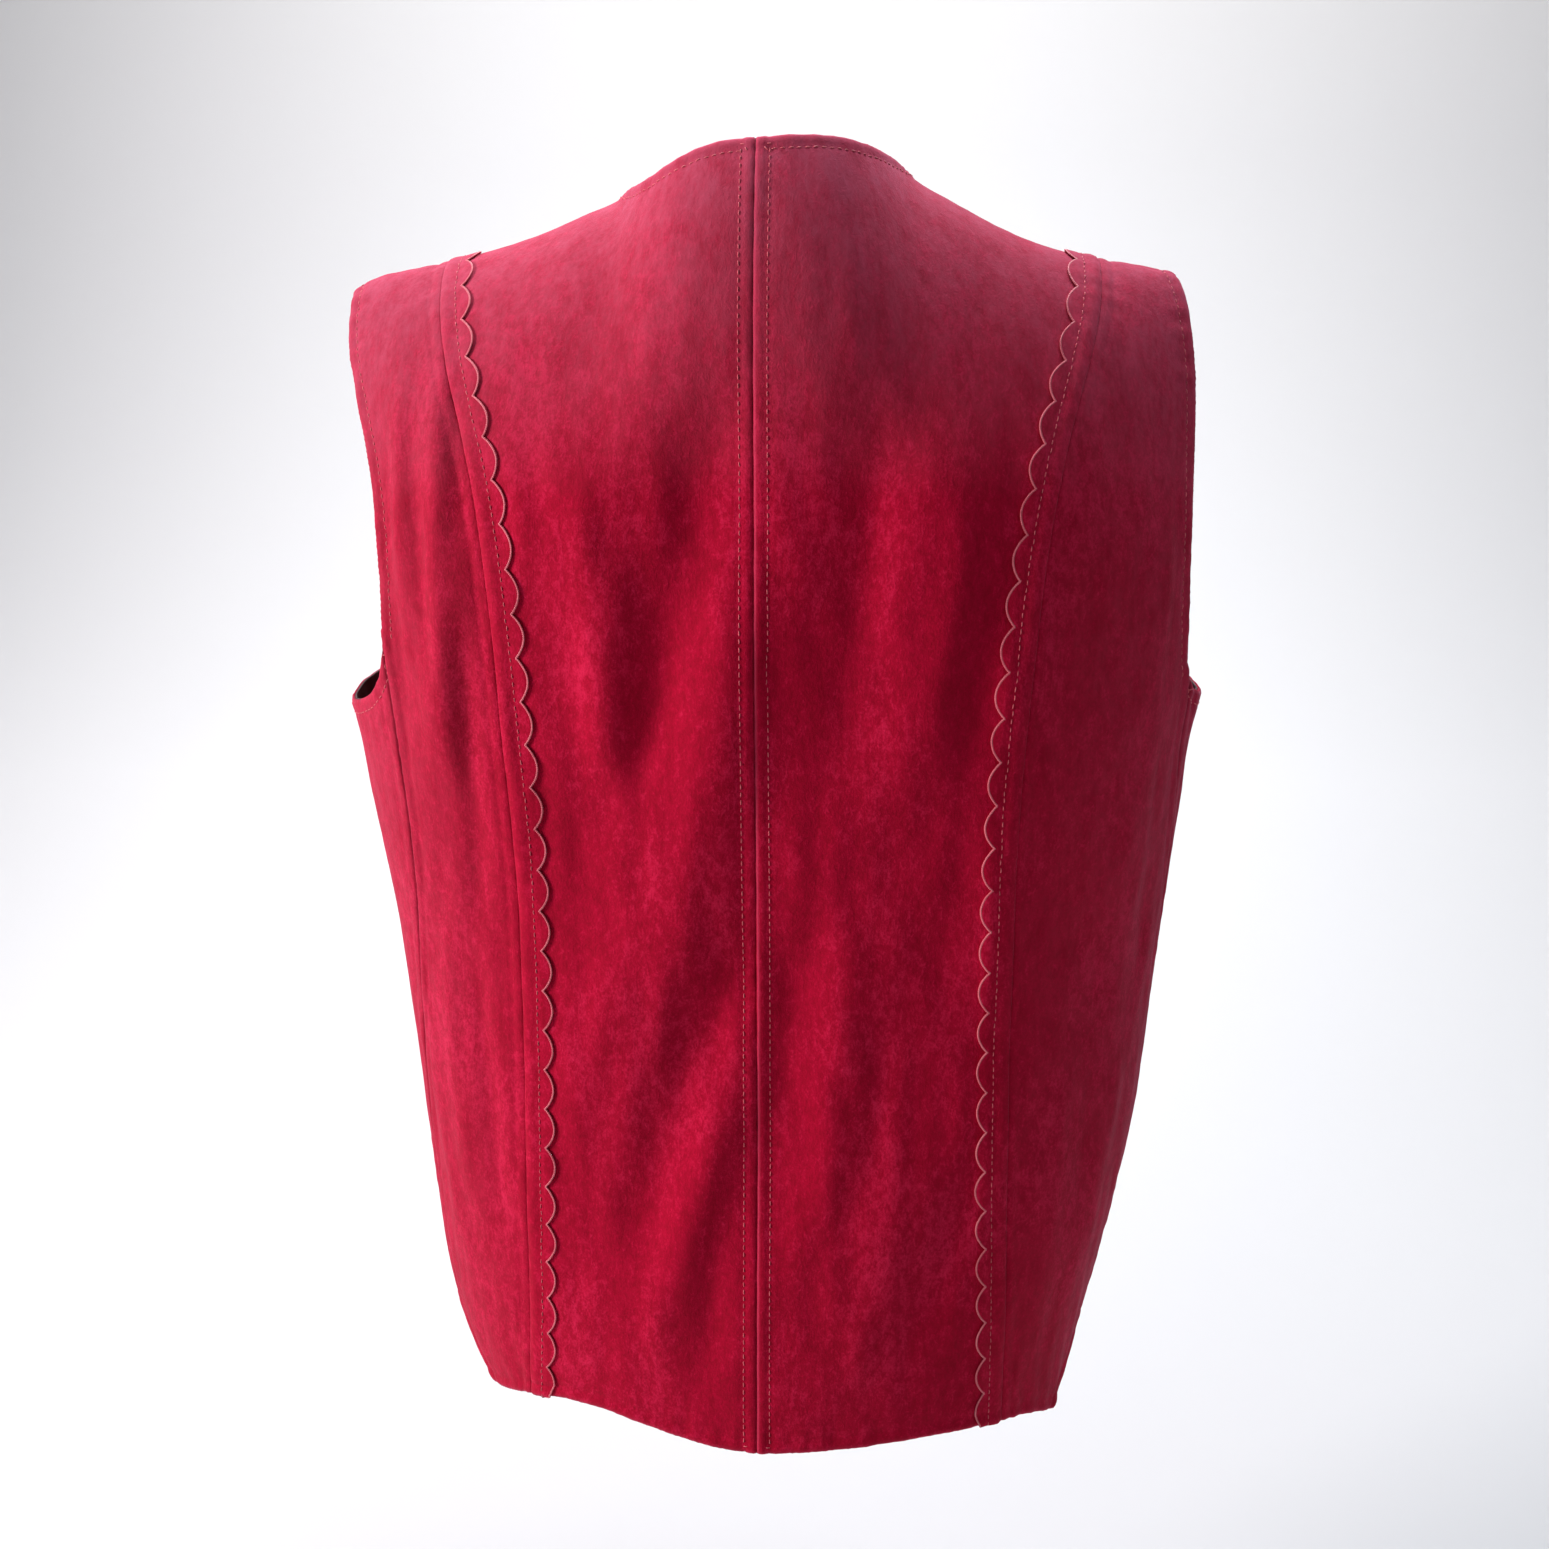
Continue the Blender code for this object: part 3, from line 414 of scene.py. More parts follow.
def fan(ring: Sequence[int], turned: bool) -> list[tuple[int, ...]]:
    """Triangles over a ring of points, as quads with a doubled corner."""
    pairs = [(k + 1, k) if turned else (k, k + 1) for k in range(1, len(ring) - 1)]
    return [(ring[0], ring[one], ring[other], ring[other]) for one, other in pairs]


def graded(
    length: float, step: float, fine: tuple[bool, bool] = (True, True)
) -> np.ndarray:
    """Shares of a length in even steps, finer towards its sewn ends.

    Args:
        length: the length, in metres.
        step: the longest step.
        fine: whether the steps are finer at the start and at the end.

    Returns:
        The shares, from 0 to 1.
    """
    grow = []
    size = FINEST_STEP
    while size < step:
        grow.append(size)
        size *= STEP_GROWTH
    head = grow if fine[0] else []
    tail = grow[::-1] if fine[1] else []
    middle = max(length - sum(head) - sum(tail), step)
    count = max(round(middle / step), 1)
    steps = head + [middle / count] * count + tail
    at = np.append(0.0, np.cumsum(steps))
    return at / at[-1]


@dataclass
class VestForm:
    """The filled form that every panel follows, with its folds."""

    folds: Sequence[Fold] = FOLDS + CREASES
    ripple_count: int = 30
    ripple_rise: float = 0.00005
    ripple_squeeze: float = 0.6
    seed: int = 11

    def __post_init__(self) -> None:
        """Makes the curves of every table."""
        self.back_depth = table_curve(SECTIONS, "height", "back_depth")
        self.front_depth = table_curve(SECTIONS, "height", "front_depth")
        self.centre_y = table_curve(SECTIONS, "height", "centre_y")
        self.flatness = table_curve(SECTIONS, "height", "flatness")
        self.crest_y = table_curve(CRESTS, "across", "y")
        self.half_width = self._sided(SECTIONS, "height", "left_width", "right_width")
        self.crest_z = self._sided(CRESTS, "across", "left", "right")
        self.princess = self._sided(PRINCESS_SEAM, "height", "left", "right")
        self.side_seam = self._sided(SIDE_SEAM, "height", "left", "right")
        rng = np.random.default_rng(self.seed)
        angle = rng.uniform(-0.9, 0.9, self.ripple_count)
        number = 2 * math.pi / rng.uniform(0.014, 0.048, self.ripple_count)
        self.ripple_across = number * np.cos(angle)
        self.ripple_up = number * np.sin(angle)
        self.ripple_phase = rng.uniform(0, 2 * math.pi, self.ripple_count)

    @staticmethod
    def _sided(rows: Sequence[Any], key: str, left: str, right: str) -> dict[Side, Curve]:
        """A curve for each side."""
        return {
            Side.LEFT: table_curve(rows, key, left),
            Side.RIGHT: table_curve(rows, key, right),
        }

    def around_of(self, side: Side, across: Any, height: Any) -> np.ndarray:
        """How far round a place lies on the back, from its distance to the middle."""
        share = np.clip(np.asarray(across) / self.half_width[side](height), -1.0, 1.0)
        return np.arcsin(share) / QUARTER

    def wrap_of(self, side: Side, around: Any, height: Any) -> np.ndarray:
        """The angle of the shoulder's round at a place."""
        across = self.half_width[side](height) * np.sin(np.asarray(around) * QUARTER)
        fall = (self.crest_z[side](np.abs(across)) - height - HEM_Z) / SHOULDER_ROUND
        turned = np.arccos(1 - np.clip(fall, 0.0, 1.0))
        return np.where(fall < 1, turned, QUARTER + fall - 1)

    def rise(self, side: Side, around: np.ndarray, height: np.ndarray) -> np.ndarray:
        """How far folds, creases and ripples move the cloth out."""
        total = np.zeros_like(height)
        girth = self.half_width[side](height) * FOLD_SPREAD
        for fold in self.folds:
            if fold.around_1 * side < -0.1:
                continue
            deep = fold.rise * (FOLD_DEPTH if abs(fold.around_1) < 1 else 1.0)
            h0, h1, h2 = fold.height_0, fold.height_1, fold.height_2
            first = (fold.around_1 - fold.around_0) / (h1 - h0)
            second = ((fold.around_2 - fold.around_1) / (h2 - h1) - first) / (h2 - h0)
            held = np.clip(height, h2 - FOLD_FADE, h0 + FOLD_FADE)
            line = fold.around_0 + first * (held - h0) + second * (held - h0) * (held - h1)
            lean = first + second * (2 * held - h0 - h1)
            aside = (side * around - line) * girth / np.hypot(1.0, lean * girth)
            above = eased((h0 + FOLD_FADE - height) / (2 * FOLD_FADE))
            below = eased((height - h2 + FOLD_FADE) / (2 * FOLD_FADE))
            total += deep * above * below * bell(aside, fold.width)
        off_lip = (around - LIP_AROUND) / LIP_WIDE, (height - LIP_HEIGHT) / LIP_DEEP
        total += LIP_RISE * np.exp(-(off_lip[0] ** 2) - off_lip[1] ** 2)
        place = side * around * girth
        for across, up, phase in zip(self.ripple_across, self.ripple_up, self.ripple_phase):
            turn = place * across + height * up * self.ripple_squeeze + phase
            total += self.ripple_rise * np.sin(turn)
        return total

    def surface(self, side: Side, around: Any, wrap: Any, sunk: Any = 0.0) -> np.ndarray:
        """Points of the outer face.

        Args:
            side: the side of the vest.
            around: 0 at centre back, 1 at the side, 2 at centre front.
            wrap: the angle of the shoulder's round, 0 on the shoulder line.
            sunk: how far the points move in.

        Returns:
            The points, with one more axis than `around`.
        """
        around, wrap = np.broadcast_arrays(np.asarray(around, float), wrap)
        sine = np.sin(around * QUARTER)
        fall = np.where(wrap < QUARTER, 1 - np.cos(wrap), 1 + wrap - QUARTER)
        reach = np.where(wrap < QUARTER, np.sin(wrap), 1.0)
        z = -SHOULDER_ROUND * fall
        for _ in range(ROUNDS):
            across = self.half_width[side](z - HEM_Z) * sine
            z = self.crest_z[side](np.abs(across)) - SHOULDER_ROUND * fall
        height = z - HEM_Z
        width = self.half_width[side](height)
        across = width * sine
        behind = around < 1
        flatness = np.where(behind, self.flatness(height), FRONT_FLATNESS)
        depth = np.where(behind, self.back_depth(height), self.front_depth(height))
        share = np.abs(sine)
        bulge = np.sqrt(np.clip(1 - share**flatness, 0.0, 1.0))
        full_y = self.centre_y(height) + np.where(behind, -1, 1) * depth * bulge
        crest_y = self.crest_y(np.abs(across))
        y = crest_y + (full_y - crest_y) * reach
        out_x = np.sign(sine) * share ** (flatness - 1) * flatness / 2 / width
        out_y = np.where(behind, -1, 1) * bulge / depth
        size = np.hypot(out_x, out_y)
        rise = self.rise(side, around, height) * reach - sunk
        across = across + rise * out_x / size
        y = y + rise * out_y / size
        return np.stack([side * across, y, z], axis=-1)

    def hem_height(self, side: Side, around: Any) -> np.ndarray:
        """The hem's height, lifted beside the middle and let down at the vent's corners."""
        around = np.asarray(around, float)
        wave = np.sin(np.clip(around / HEM_WAVE_END, 0.0, 1.0) * math.pi) ** 2
        corner = bell(around - CORNER_AROUND, CORNER_WIDE)
        return HEM_LIFT[side] * wave - CORNER_DROP[side] * corner

    def lower_height(self, side: Side, around: Any, share: Any, top: Any) -> np.ndarray:
        """The height of a row that stands at `share` of the way up to `top`."""
        return top * share + self.hem_height(side, around) * (1 - share) ** 4

    def even_steps(
        self, side: Side, around: np.ndarray, wrap: np.ndarray, shares: np.ndarray
    ) -> tuple[np.ndarray, np.ndarray]:
        """`around` and `wrap` at shares of the length of a curve on the cloth."""
        length = lengths_along(self.surface(side, around, wrap))
        at = shares * length[-1]
        return Curve(length, around)(at), Curve(length, wrap)(at)

    def edge_curve(
        self,
        side: Side,
        points: Sequence[EdgePoint],
        tip: float | None,
        shares: np.ndarray,
    ) -> tuple[np.ndarray, np.ndarray]:
        """Steps along an armhole's edge, on to the shoulder tip if `tip` is given."""
        around = np.array([p.around for p in points])
        wrap = self.wrap_of(side, around, np.array([p.height for p in points]))
        if tip is not None:
            around = np.append(around, tip)
            wrap = np.append(wrap, 0.0)
        return self.even_steps(side, around, wrap, shares)


@dataclass
class Sheet:
    """An open sheet of cloth, its quads facing out, with named edges as rows of points."""

    points: np.ndarray
    quads: np.ndarray
    edges: dict[str, np.ndarray] = field(default_factory=dict)

    @classmethod
    def from_grids(
        cls, grids: Sequence[tuple[np.ndarray, bool]]
    ) -> tuple["Sheet", list[np.ndarray]]:
        """One sheet over several grids of points, joined where points coincide.

        Args:
            grids: each grid's points, and whether its quads are to be turned round.

        Returns:
            The sheet, and each grid's array of point numbers.
        """
        stacked = np.concatenate([g.reshape(-1, 3) for g, _ in grids])
        keys = np.round(stacked * 1e6).astype(np.int64)
        _, first, number = np.unique(keys, axis=0, return_index=True, return_inverse=True)
        number = number.reshape(-1)
        indices = []
        quads = []
        at = 0
        for grid, turned in grids:
            rows, cols = grid.shape[:2]
            index = number[at : at + rows * cols].reshape(rows, cols)
            at += rows * cols
            a, b = index[:-1, :-1].ravel(), index[:-1, 1:].ravel()
            c, d = index[1:, 1:].ravel(), index[1:, :-1].ravel()
            quads.append(np.stack([a, d, c, b] if turned else [a, b, c, d], axis=-1))
            indices.append(index)
        return cls(stacked[first], np.concatenate(quads)), indices

    def crosses(self) -> np.ndarray:
        """The way out of each quad, twice as long as the quad is large."""
        corner = self.points[self.quads]
        return np.cross(corner[:, 2] - corner[:, 0], corner[:, 3] - corner[:, 1])

    def area(self) -> float:
        """The sheet's area in square metres."""
        return float(np.linalg.norm(self.crosses(), axis=-1).sum() / 2)

    def normals(self) -> np.ndarray:
        """The outward unit normal at each point."""
        face = self.crosses()
        total = np.zeros_like(self.points)
        for k in range(4):
            np.add.at(total, self.quads[:, k], face)
        return unit(total)

    def boundary(self) -> np.ndarray:
        """The directed edges round the sheet, its inside on their left."""
        pairs = np.concatenate([self.quads[:, [k, (k + 1) % 4]] for k in range(4)])
        count = len(self.points)
        code = pairs[:, 0] * count + pairs[:, 1]
        back = pairs[:, 1] * count + pairs[:, 0]
        return pairs[~np.isin(code, back)]

    def ways_off(self, normals: np.ndarray) -> tuple[np.ndarray, np.ndarray]:
        """The boundary's points, and for every point the way off the sheet there."""
        pairs = self.boundary()
        run = unit(self.points[pairs[:, 1]] - self.points[pairs[:, 0]])
        off = np.cross(run, normals[pairs[:, 0]])
        total = np.zeros_like(self.points)
        np.add.at(total, pairs[:, 0], off)
        np.add.at(total, pairs[:, 1], off)
        return pairs, unit(total)


def dense_line(points: np.ndarray, step: float = MILLIMETRE) -> np.ndarray:
    """A polyline's points at even steps."""
    length = lengths_along(points)
    count = max(int(length[-1] / step), 2)
    return read_off(points, length, np.linspace(0.0, length[-1], count))


def distance_to_line(
    points: np.ndarray, line: np.ndarray, reach: float = 0.030
) -> tuple[np.ndarray, np.ndarray]:
    """Each point's distance to a dense line, and the number of the nearest step.

    Args:
        points: the points.
        line: the line, at steps of 1 mm.
        reach: points that lie farther off the line's box are given as far away.

    Returns:
        The distances, and the nearest step's number.
    """
    far = np.full(len(points), 1.0)
    step = np.zeros(len(points))
    low, high = line.min(axis=0) - reach, line.max(axis=0) + reach
    near = np.flatnonzero(np.all((points > low) & (points < high), axis=1))
    for start in range(0, len(near), 2000):
        where = near[start : start + 2000]
        gap = np.linalg.norm(points[where][:, None] - line[None], axis=-1)
        step[where] = gap.argmin(axis=1)
        far[where] = gap.min(axis=1)
    return far, step


@dataclass(frozen=True)
class EdgeDressing:
    """How the cloth stands near a sewn edge, in metres."""

    stitch_line: float = SEAM_STITCH_LINE
    groove: float = 0.00034
    groove_width: float = 0.0012
    puff: float = 0.00030
    puff_width: float = 0.0021
    pucker: float = 0.00020
    pucker_width: float = 0.007
    seam_pucker: float = 0.55
    turn_in: float = 0.0008
    turn_width: float = 0.00075

    def rise(self, edge: Edge, far: np.ndarray, step: np.ndarray, salt: int) -> np.ndarray:
        """How far the cloth near one edge moves out.

        Args:
            edge: what the edge is.
            far: the points' distances to it.
            step: how many millimetres along it they are.
            salt: a number that sets the puckers of this edge apart.

        Returns:
            The rise at each point.
        """
        groove = -self.groove * bell(far - self.stitch_line, self.groove_width)
        puff = self.puff * bell(far - 0.5 * self.stitch_line, self.puff_width)
        turn = -self.turn_in * bell(far, self.turn_width)
        beat = np.sin(step * 0.61 + salt) + 0.7 * np.sin(step * 0.377 + 2.1 * salt)
        beat = beat * (0.6 + 0.4 * np.sin(step * 0.053 + salt))
        fade = bell(far - self.stitch_line, self.pucker_width)
        part = self.seam_pucker if edge is Edge.SEAM else 1.0
        return groove + puff + turn + self.pucker * beat * fade * part


def mesh_object(name: str, points: np.ndarray, faces: Sequence[Any]) -> bpy.types.Object:
    """A new object with the given points and faces, at the origin."""
    mesh = bpy.data.meshes.new(name)
    mesh.from_pydata([tuple(p) for p in points.tolist()], [], [tuple(f) for f in faces])
    mesh.validate()
    mesh.update()
    obj = bpy.data.objects.new(name, mesh)
    bpy.context.scene.collection.objects.link(obj)
    mesh.shade_smooth()
    return obj


def shell(
    name: str, sheet: Sheet, thickness: Any, tone: np.ndarray | None = None
) -> bpy.types.Object:
    """A closed wall under a sheet, its rim rounded.

    Args:
        name: the object's name.
        sheet: the outer face.
        thickness: the wall's thickness, one for all or one for each point.
        tone: a value for each point, kept as the attribute the finishes read.

    Returns:
        The wall. Its inner faces take the second material slot.
    """
    thickness = np.broadcast_to(np.asarray(thickness, float), len(sheet.points))
    normals = sheet.normals()
    pairs, off = sheet.ways_off(normals)
    on_rim = np.unique(pairs)
    outer = sheet.points.copy()
    half = thickness[:, None] / 2
    room = np.full(len(outer), np.inf)
    inside = np.ones(len(outer), bool)
    inside[on_rim] = False
    for k in range(4):
        for one, other in ((k, (k + 1) % 4), ((k + 1) % 4, k)):
            near, far = sheet.quads[:, one], sheet.quads[:, other]
            both = inside[far] & ~inside[near]
            gap = np.linalg.norm(outer[near[both]] - outer[far[both]], axis=-1)
            np.minimum.at(room, near[both], gap)
    inset = np.minimum(half, 0.45 * room[:, None])
    outer[on_rim] -= (off * inset)[on_rim]
    inner = outer - normals * thickness[:, None]
    count = len(outer)
    place = np.full(count, -1)
    place[on_rim] = np.arange(len(on_rim))
    rings = []
    for turn in (0.25, 0.5, 0.75):
        angle = turn * math.pi
        ring = outer - normals * half
        ring = ring + math.cos(angle) * half * normals + math.sin(angle) * inset * off
        rings.append(ring[on_rim])
    points = np.concatenate([outer, inner, *rings])
    a, b = pairs[:, 0], pairs[:, 1]
    ladder = [(a, b)]
    for k in range(3):
        base = 2 * count + k * len(on_rim)
        ladder.append((place[a] + base, place[b] + base))
    ladder.append((a + count, b + count))
    rim = [
        np.stack([high[1], high[0], low[0], low[1]], axis=-1)
        for high, low in zip(ladder, ladder[1:])
    ]
    faces = np.concatenate([sheet.quads, sheet.quads[:, ::-1] + count, *rim])
    obj = mesh_object(name, points, faces.tolist())
    index = np.zeros(len(faces), int)
    index[len(sheet.quads) : 2 * len(sheet.quads)] = 1
    if len(obj.data.polygons) == len(index):
        obj.data.polygons.foreach_set("material_index", index)
    tone = np.zeros(count) if tone is None else tone
    values = np.concatenate([tone, tone, *[tone[on_rim]] * 3])
    layer = obj.data.attributes.new("tone", "FLOAT", "POINT")
    layer.data.foreach_set("value", values.astype(np.float32))
    return obj


@dataclass
class Tailoring:
    """Follows a sheet's finished surface, for what is sewn on it."""

    sheet: Sheet
    plain: Sheet

    def __post_init__(self) -> None:
        """Makes the search tree over the outer face."""
        points = [Vector(p) for p in self.sheet.points.tolist()]
        self.tree = BVHTree.FromPolygons(points, self.sheet.quads.tolist())
        _, self.off = self.plain.ways_off(self.plain.normals())

    def settle(self, points: np.ndarray, slack: float = 0.004) -> tuple[np.ndarray, ...]:
        """The nearest places on the sheet.

        Args:
            points: where to look.
            slack: a point farther away than this is dropped.

        Returns:
            The places, the normals there, and which of the points were kept.
        """
        place = []
        way = []
        kept = []
        for number, point in enumerate(points.tolist()):
            found, normal, _, gap = self.tree.find_nearest(Vector(point))
            if found is not None and gap < slack:
                place.append(found[:])
                way.append(normal[:])
                kept.append(number)
        return np.array(place), unit(np.array(way)), np.array(kept)

    def beside(self, edge: str, distance: float) -> np.ndarray:
        """A line at a distance inside one of the sheet's edges."""
        index = self.plain.edges[edge]
        line = self.plain.points[index]
        off = self.off[index]
        for _ in range(12):
            off[1:-1] = unit(off[:-2] + off[1:-1] + off[2:])
        return dense_line(line - off * distance)


@dataclass(frozen=True)
class Stitching:
    """Lines of stitches, each one a short rounded piece of thread."""

    pitch: float = 0.0036
    length: float = 0.0027
    radius: float = 0.00024
    proud: float = 0.00022
    rings: int = 5
    around: int = 6
    end_taper: float = 0.62
    end_dip: float = 1.9
    reach: float = 0.0006
    slip: float = 0.00009
    skew: float = 0.045

    def stitch(self) -> tuple[np.ndarray, np.ndarray]:
        """One stitch along X, over Z 0, as points and faces."""
        points = []
        for k in range(self.rings):
            share = 2 * k / (self.rings - 1) - 1
            radius = self.radius * (1 - self.end_taper * share**4)
            lift = self.proud * (1 - self.end_dip * share**2)
            for m in range(self.around):
                turn = 2 * math.pi * m / self.around
                y, z = math.cos(turn) * radius, math.sin(turn) * radius
                points.append((share * self.length / 2, y, z + lift))
        faces = []
        for k in range(self.rings - 1):
            for m in range(self.around):
                a, b = k * self.around + m, k * self.around + (m + 1) % self.around
                faces.append((a, a + self.around, b + self.around, b))
        first = range(self.around)
        last = range(len(points) - self.around, len(points))
        return np.array(points), np.array(faces + fan(first, False) + fan(last, True))

    def along(
        self, tailoring: Tailoring, line: np.ndarray, rng: np.random.Generator
    ) -> tuple[np.ndarray, np.ndarray]:
        """Stitches along a line on a sheet, as points and faces."""
        length = lengths_along(line)
        count = max(int(length[-1] / self.pitch), 1)
        at = (np.arange(count) + 0.5) * length[-1] / count
        at = at + rng.normal(0.0, self.slip, count)
        ahead = read_off(line, length, at + self.reach)
        back = read_off(line, length, at - self.reach)
        place, up, kept = tailoring.settle((ahead + back) / 2)
        if not len(kept):
            return np.zeros((0, 3)), np.zeros((0, 4), int)
        run = unit((ahead - back)[kept])
        run = unit(run - up * (run * up).sum(-1, keepdims=True))
        aside = np.cross(up, run)
        skew = rng.normal(0.0, self.skew, len(kept))[:, None]
        run, aside = unit(run + aside * skew), unit(aside - run * skew)
        points, faces = self.stitch()
        moved = place[:, None]
        for k, way in enumerate((run, aside, up)):
            moved = moved + points[None, :, k : k + 1] * way[:, None]
        shift = (np.arange(len(kept)) * len(points))[:, None, None]
        return moved.reshape(-1, 3), (faces[None] + shift).reshape(-1, 4)


def joined_object(
    name: str, parts: Sequence[tuple[np.ndarray, np.ndarray]]
) -> bpy.types.Object:
    """One object from several lots of points and faces."""
    faces = []
    at = 0
    for place, face in parts:
        faces += (face + at).tolist()
        at += len(place)
    joined = [[v for k, v in enumerate(f) if v not in f[:k]] for f in faces]
    return mesh_object(name, np.concatenate([place for place, _ in parts]), joined)


@dataclass(frozen=True)
class EdgeCord:
    """Close stitches over an edge: a thin cord with a rib for every stitch."""

    width: float = 0.00100
    height: float = 0.00062
    rib: float = 0.0009
    rib_depth: float = 0.20
    around: int = 8
    steps_per_rib: int = 4

    def along(
        self, line: np.ndarray, up: np.ndarray, closed: bool = False
    ) -> tuple[np.ndarray, np.ndarray]:
        """The cord along a line.

        Args:
            line: the line's points.
            up: the way out of the cloth at each point.
            closed: whether the line's end meets its start.

        Returns:
            The cord's points and faces.
        """
        length = lengths_along(line)
        count = int(length[-1] / self.rib) * self.steps_per_rib
        at = np.linspace(0.0, length[-1], count + 1)
        if closed:
            at = at[:-1]
        place = read_off(line, length, at)
        ways = read_off(up, length, at)
        run = unit(np.gradient(place, axis=0))
        ways = unit(ways - run * (ways * run).sum(-1, keepdims=True))
        aside = np.cross(ways, run)
        beat = 1 + self.rib_depth * np.cos(
            2 * math.pi * np.arange(len(at)) / self.steps_per_rib
        )
        turn = 2 * math.pi * np.arange(self.around) / self.around
        ring = (
            place[:, None]
            + aside[:, None] * (np.cos(turn)[None, :, None] * self.width / 2)
            * beat[:, None, None]
            + ways[:, None] * (np.sin(turn)[None, :, None] * self.height / 2)
            * beat[:, None, None]
        )
        number = np.arange(len(at) * self.around).reshape(-1, self.around)
        rows = number if closed else number[:-1]
        above = np.roll(number, -1, axis=0)[: len(rows)]
        corners = (rows, np.roll(rows, -1, axis=1), np.roll(above, -1, axis=1), above)
        faces = np.stack([corner.ravel() for corner in corners], axis=-1)
        if not closed:
            caps = fan(number[0].tolist(), True) + fan(number[-1].tolist(), False)
            faces = np.concatenate([faces, np.array(caps)])
        return ring.reshape(-1, 3), faces


def plug(tree: bpy.types.NodeTree, slot: bpy.types.NodeSocket, value: Any) -> None:
    """Links a value to an input socket, or sets the socket to a number or colour."""
    if isinstance(value, Value):
        tree.links.new(value.socket, slot)
    else:
        slot.default_value = value


class Value:
    """A socket's value, which adds Math nodes where it meets other values."""

    def __init__(self, tree: bpy.types.NodeTree, socket: bpy.types.NodeSocket) -> None:
        """Wraps an output socket."""
        self.tree = tree
        self.socket = socket

    def _math(self, operation: str, first: Any, second: Any) -> "Value":
        """A Math node over two values or numbers."""
        node = self.tree.nodes.new("ShaderNodeMath")
        node.operation = operation
        for slot, value in zip(node.inputs, (first, second)):
            plug(self.tree, slot, value)
        return Value(self.tree, node.outputs[0])

    def __add__(self, other: Any) -> "Value":
        """This plus another."""
        return self._math("ADD", self, other)

    def __sub__(self, other: Any) -> "Value":
        """This less another."""
        return self._math("SUBTRACT", self, other)

    def __rsub__(self, other: Any) -> "Value":
        """Another less this."""
        return self._math("SUBTRACT", other, self)

    def __mul__(self, other: Any) -> "Value":
        """This times another."""
        return self._math("MULTIPLY", self, other)

    __radd__ = __add__
    __rmul__ = __mul__


class Finish:
    """A material under construction, with one method for every kind of node."""

    def __init__(self, name: str, roughness: float) -> None:
        """Starts a material with its shader."""
        self.material = bpy.data.materials.new(name)
        self.material.use_nodes = True
        self.tree = self.material.node_tree
        self.shader = self.tree.nodes["Principled BSDF"]
        self.shader.inputs["Roughness"].default_value = roughness

    def node(self, kind: str, settings: dict[str, Any], **sockets: Any) -> bpy.types.Node:
        """A node of a kind.

        Args:
            kind: the node's type.
            settings: its settings.
            sockets: values or links for its inputs, by name with _ for a space.

        Returns:
            The node.
        """
        node = self.tree.nodes.new(kind)
        for name, value in settings.items():
            setattr(node, name, value)
        for name, value in sockets.items():
            plug(self.tree, self.socket(node.inputs, name.replace("_", " ")), value)
        return node

    @staticmethod
    def socket(sockets: Any, name: str) -> bpy.types.NodeSocket:
        """The socket of a name that is in use."""
        return next(s for s in sockets if s.name == name and s.enabled)

    def value(self, node: bpy.types.Node, name: str) -> Value:
        """One of a node's outputs."""
        return Value(self.tree, self.socket(node.outputs, name))

    def coordinates(self, squeeze: float = 1.0) -> Value:
        """Object coordinates, with the height squeezed."""
        place = self.value(self.node("ShaderNodeTexCoord", {}), "Object")
        scale = (1.0, 1.0, squeeze)
        mapping = self.node("ShaderNodeMapping", {}, Vector=place, Scale=scale)
        return self.value(mapping, "Vector")

    def parted(self, place: Value, axis: str) -> Value:
        """One axis of a place."""
        return self.value(self.node("ShaderNodeSeparateXYZ", {}, Vector=place), axis)

    def noise(
        self, place: Value, scale: float, detail: float = 3.0, rough: float = 0.5
    ) -> Value:
        """Soft noise from 0 to 1."""
        sockets = {"Vector": place, "Scale": scale, "Detail": detail, "Roughness": rough}
        return self.value(self.node("ShaderNodeTexNoise", {}, **sockets), "Fac")

    def ridges(self, place: Value, way: str, scale: float, distortion: float) -> Value:
        """Fine even ridges that run across a direction."""
        settings = {"bands_direction": way}
        sockets = {"Vector": place, "Scale": scale, "Distortion": distortion, "Detail": 1.0}
        return self.value(self.node("ShaderNodeTexWave", settings, **sockets), "Fac")

    def spread(self, value: Value, low: float, high: float) -> Value:
        """A value's range from `low` to `high` spread over 0 to 1."""
        node = self.node(
            "ShaderNodeMapRange", {"clamp": True}, Value=value, From_Min=low, From_Max=high
        )
        return self.value(node, "Result")

    def mixed(self, first: Any, second: Any, share: Any) -> Value:
        """Two colours mixed, the second by `share`."""
        node = self.node("ShaderNodeMix", {"data_type": "RGBA"})
        for name, value in (("Factor", share), ("A", first), ("B", second)):
            value = (*value, 1.0) if isinstance(value, tuple) else value
            plug(self.tree, self.socket(node.inputs, name), value)
        return self.value(node, "Result")

    def feed(self, name: str, value: Value) -> None:
        """Links a value to one of the shader's sockets."""
        self.tree.links.new(value.socket, self.shader.inputs[name])

    def relief(self, height: Value, strength: float, distance: float) -> None:
        """Bump from a height."""
        bump = self.node(
            "ShaderNodeBump", {}, Height=height, Strength=strength, Distance=distance
        )
        self.feed("Normal", self.value(bump, "Normal"))

    def sheen(self, weight: float, roughness: float, tint: tuple[float, ...]) -> None:
        """The soft glow of a nap."""
        self.shader.inputs["Sheen Weight"].default_value = weight
        self.shader.inputs["Sheen Roughness"].default_value = roughness
        self.shader.inputs["Sheen Tint"].default_value = (*tint, 1.0)


Colour = tuple[float, float, float]


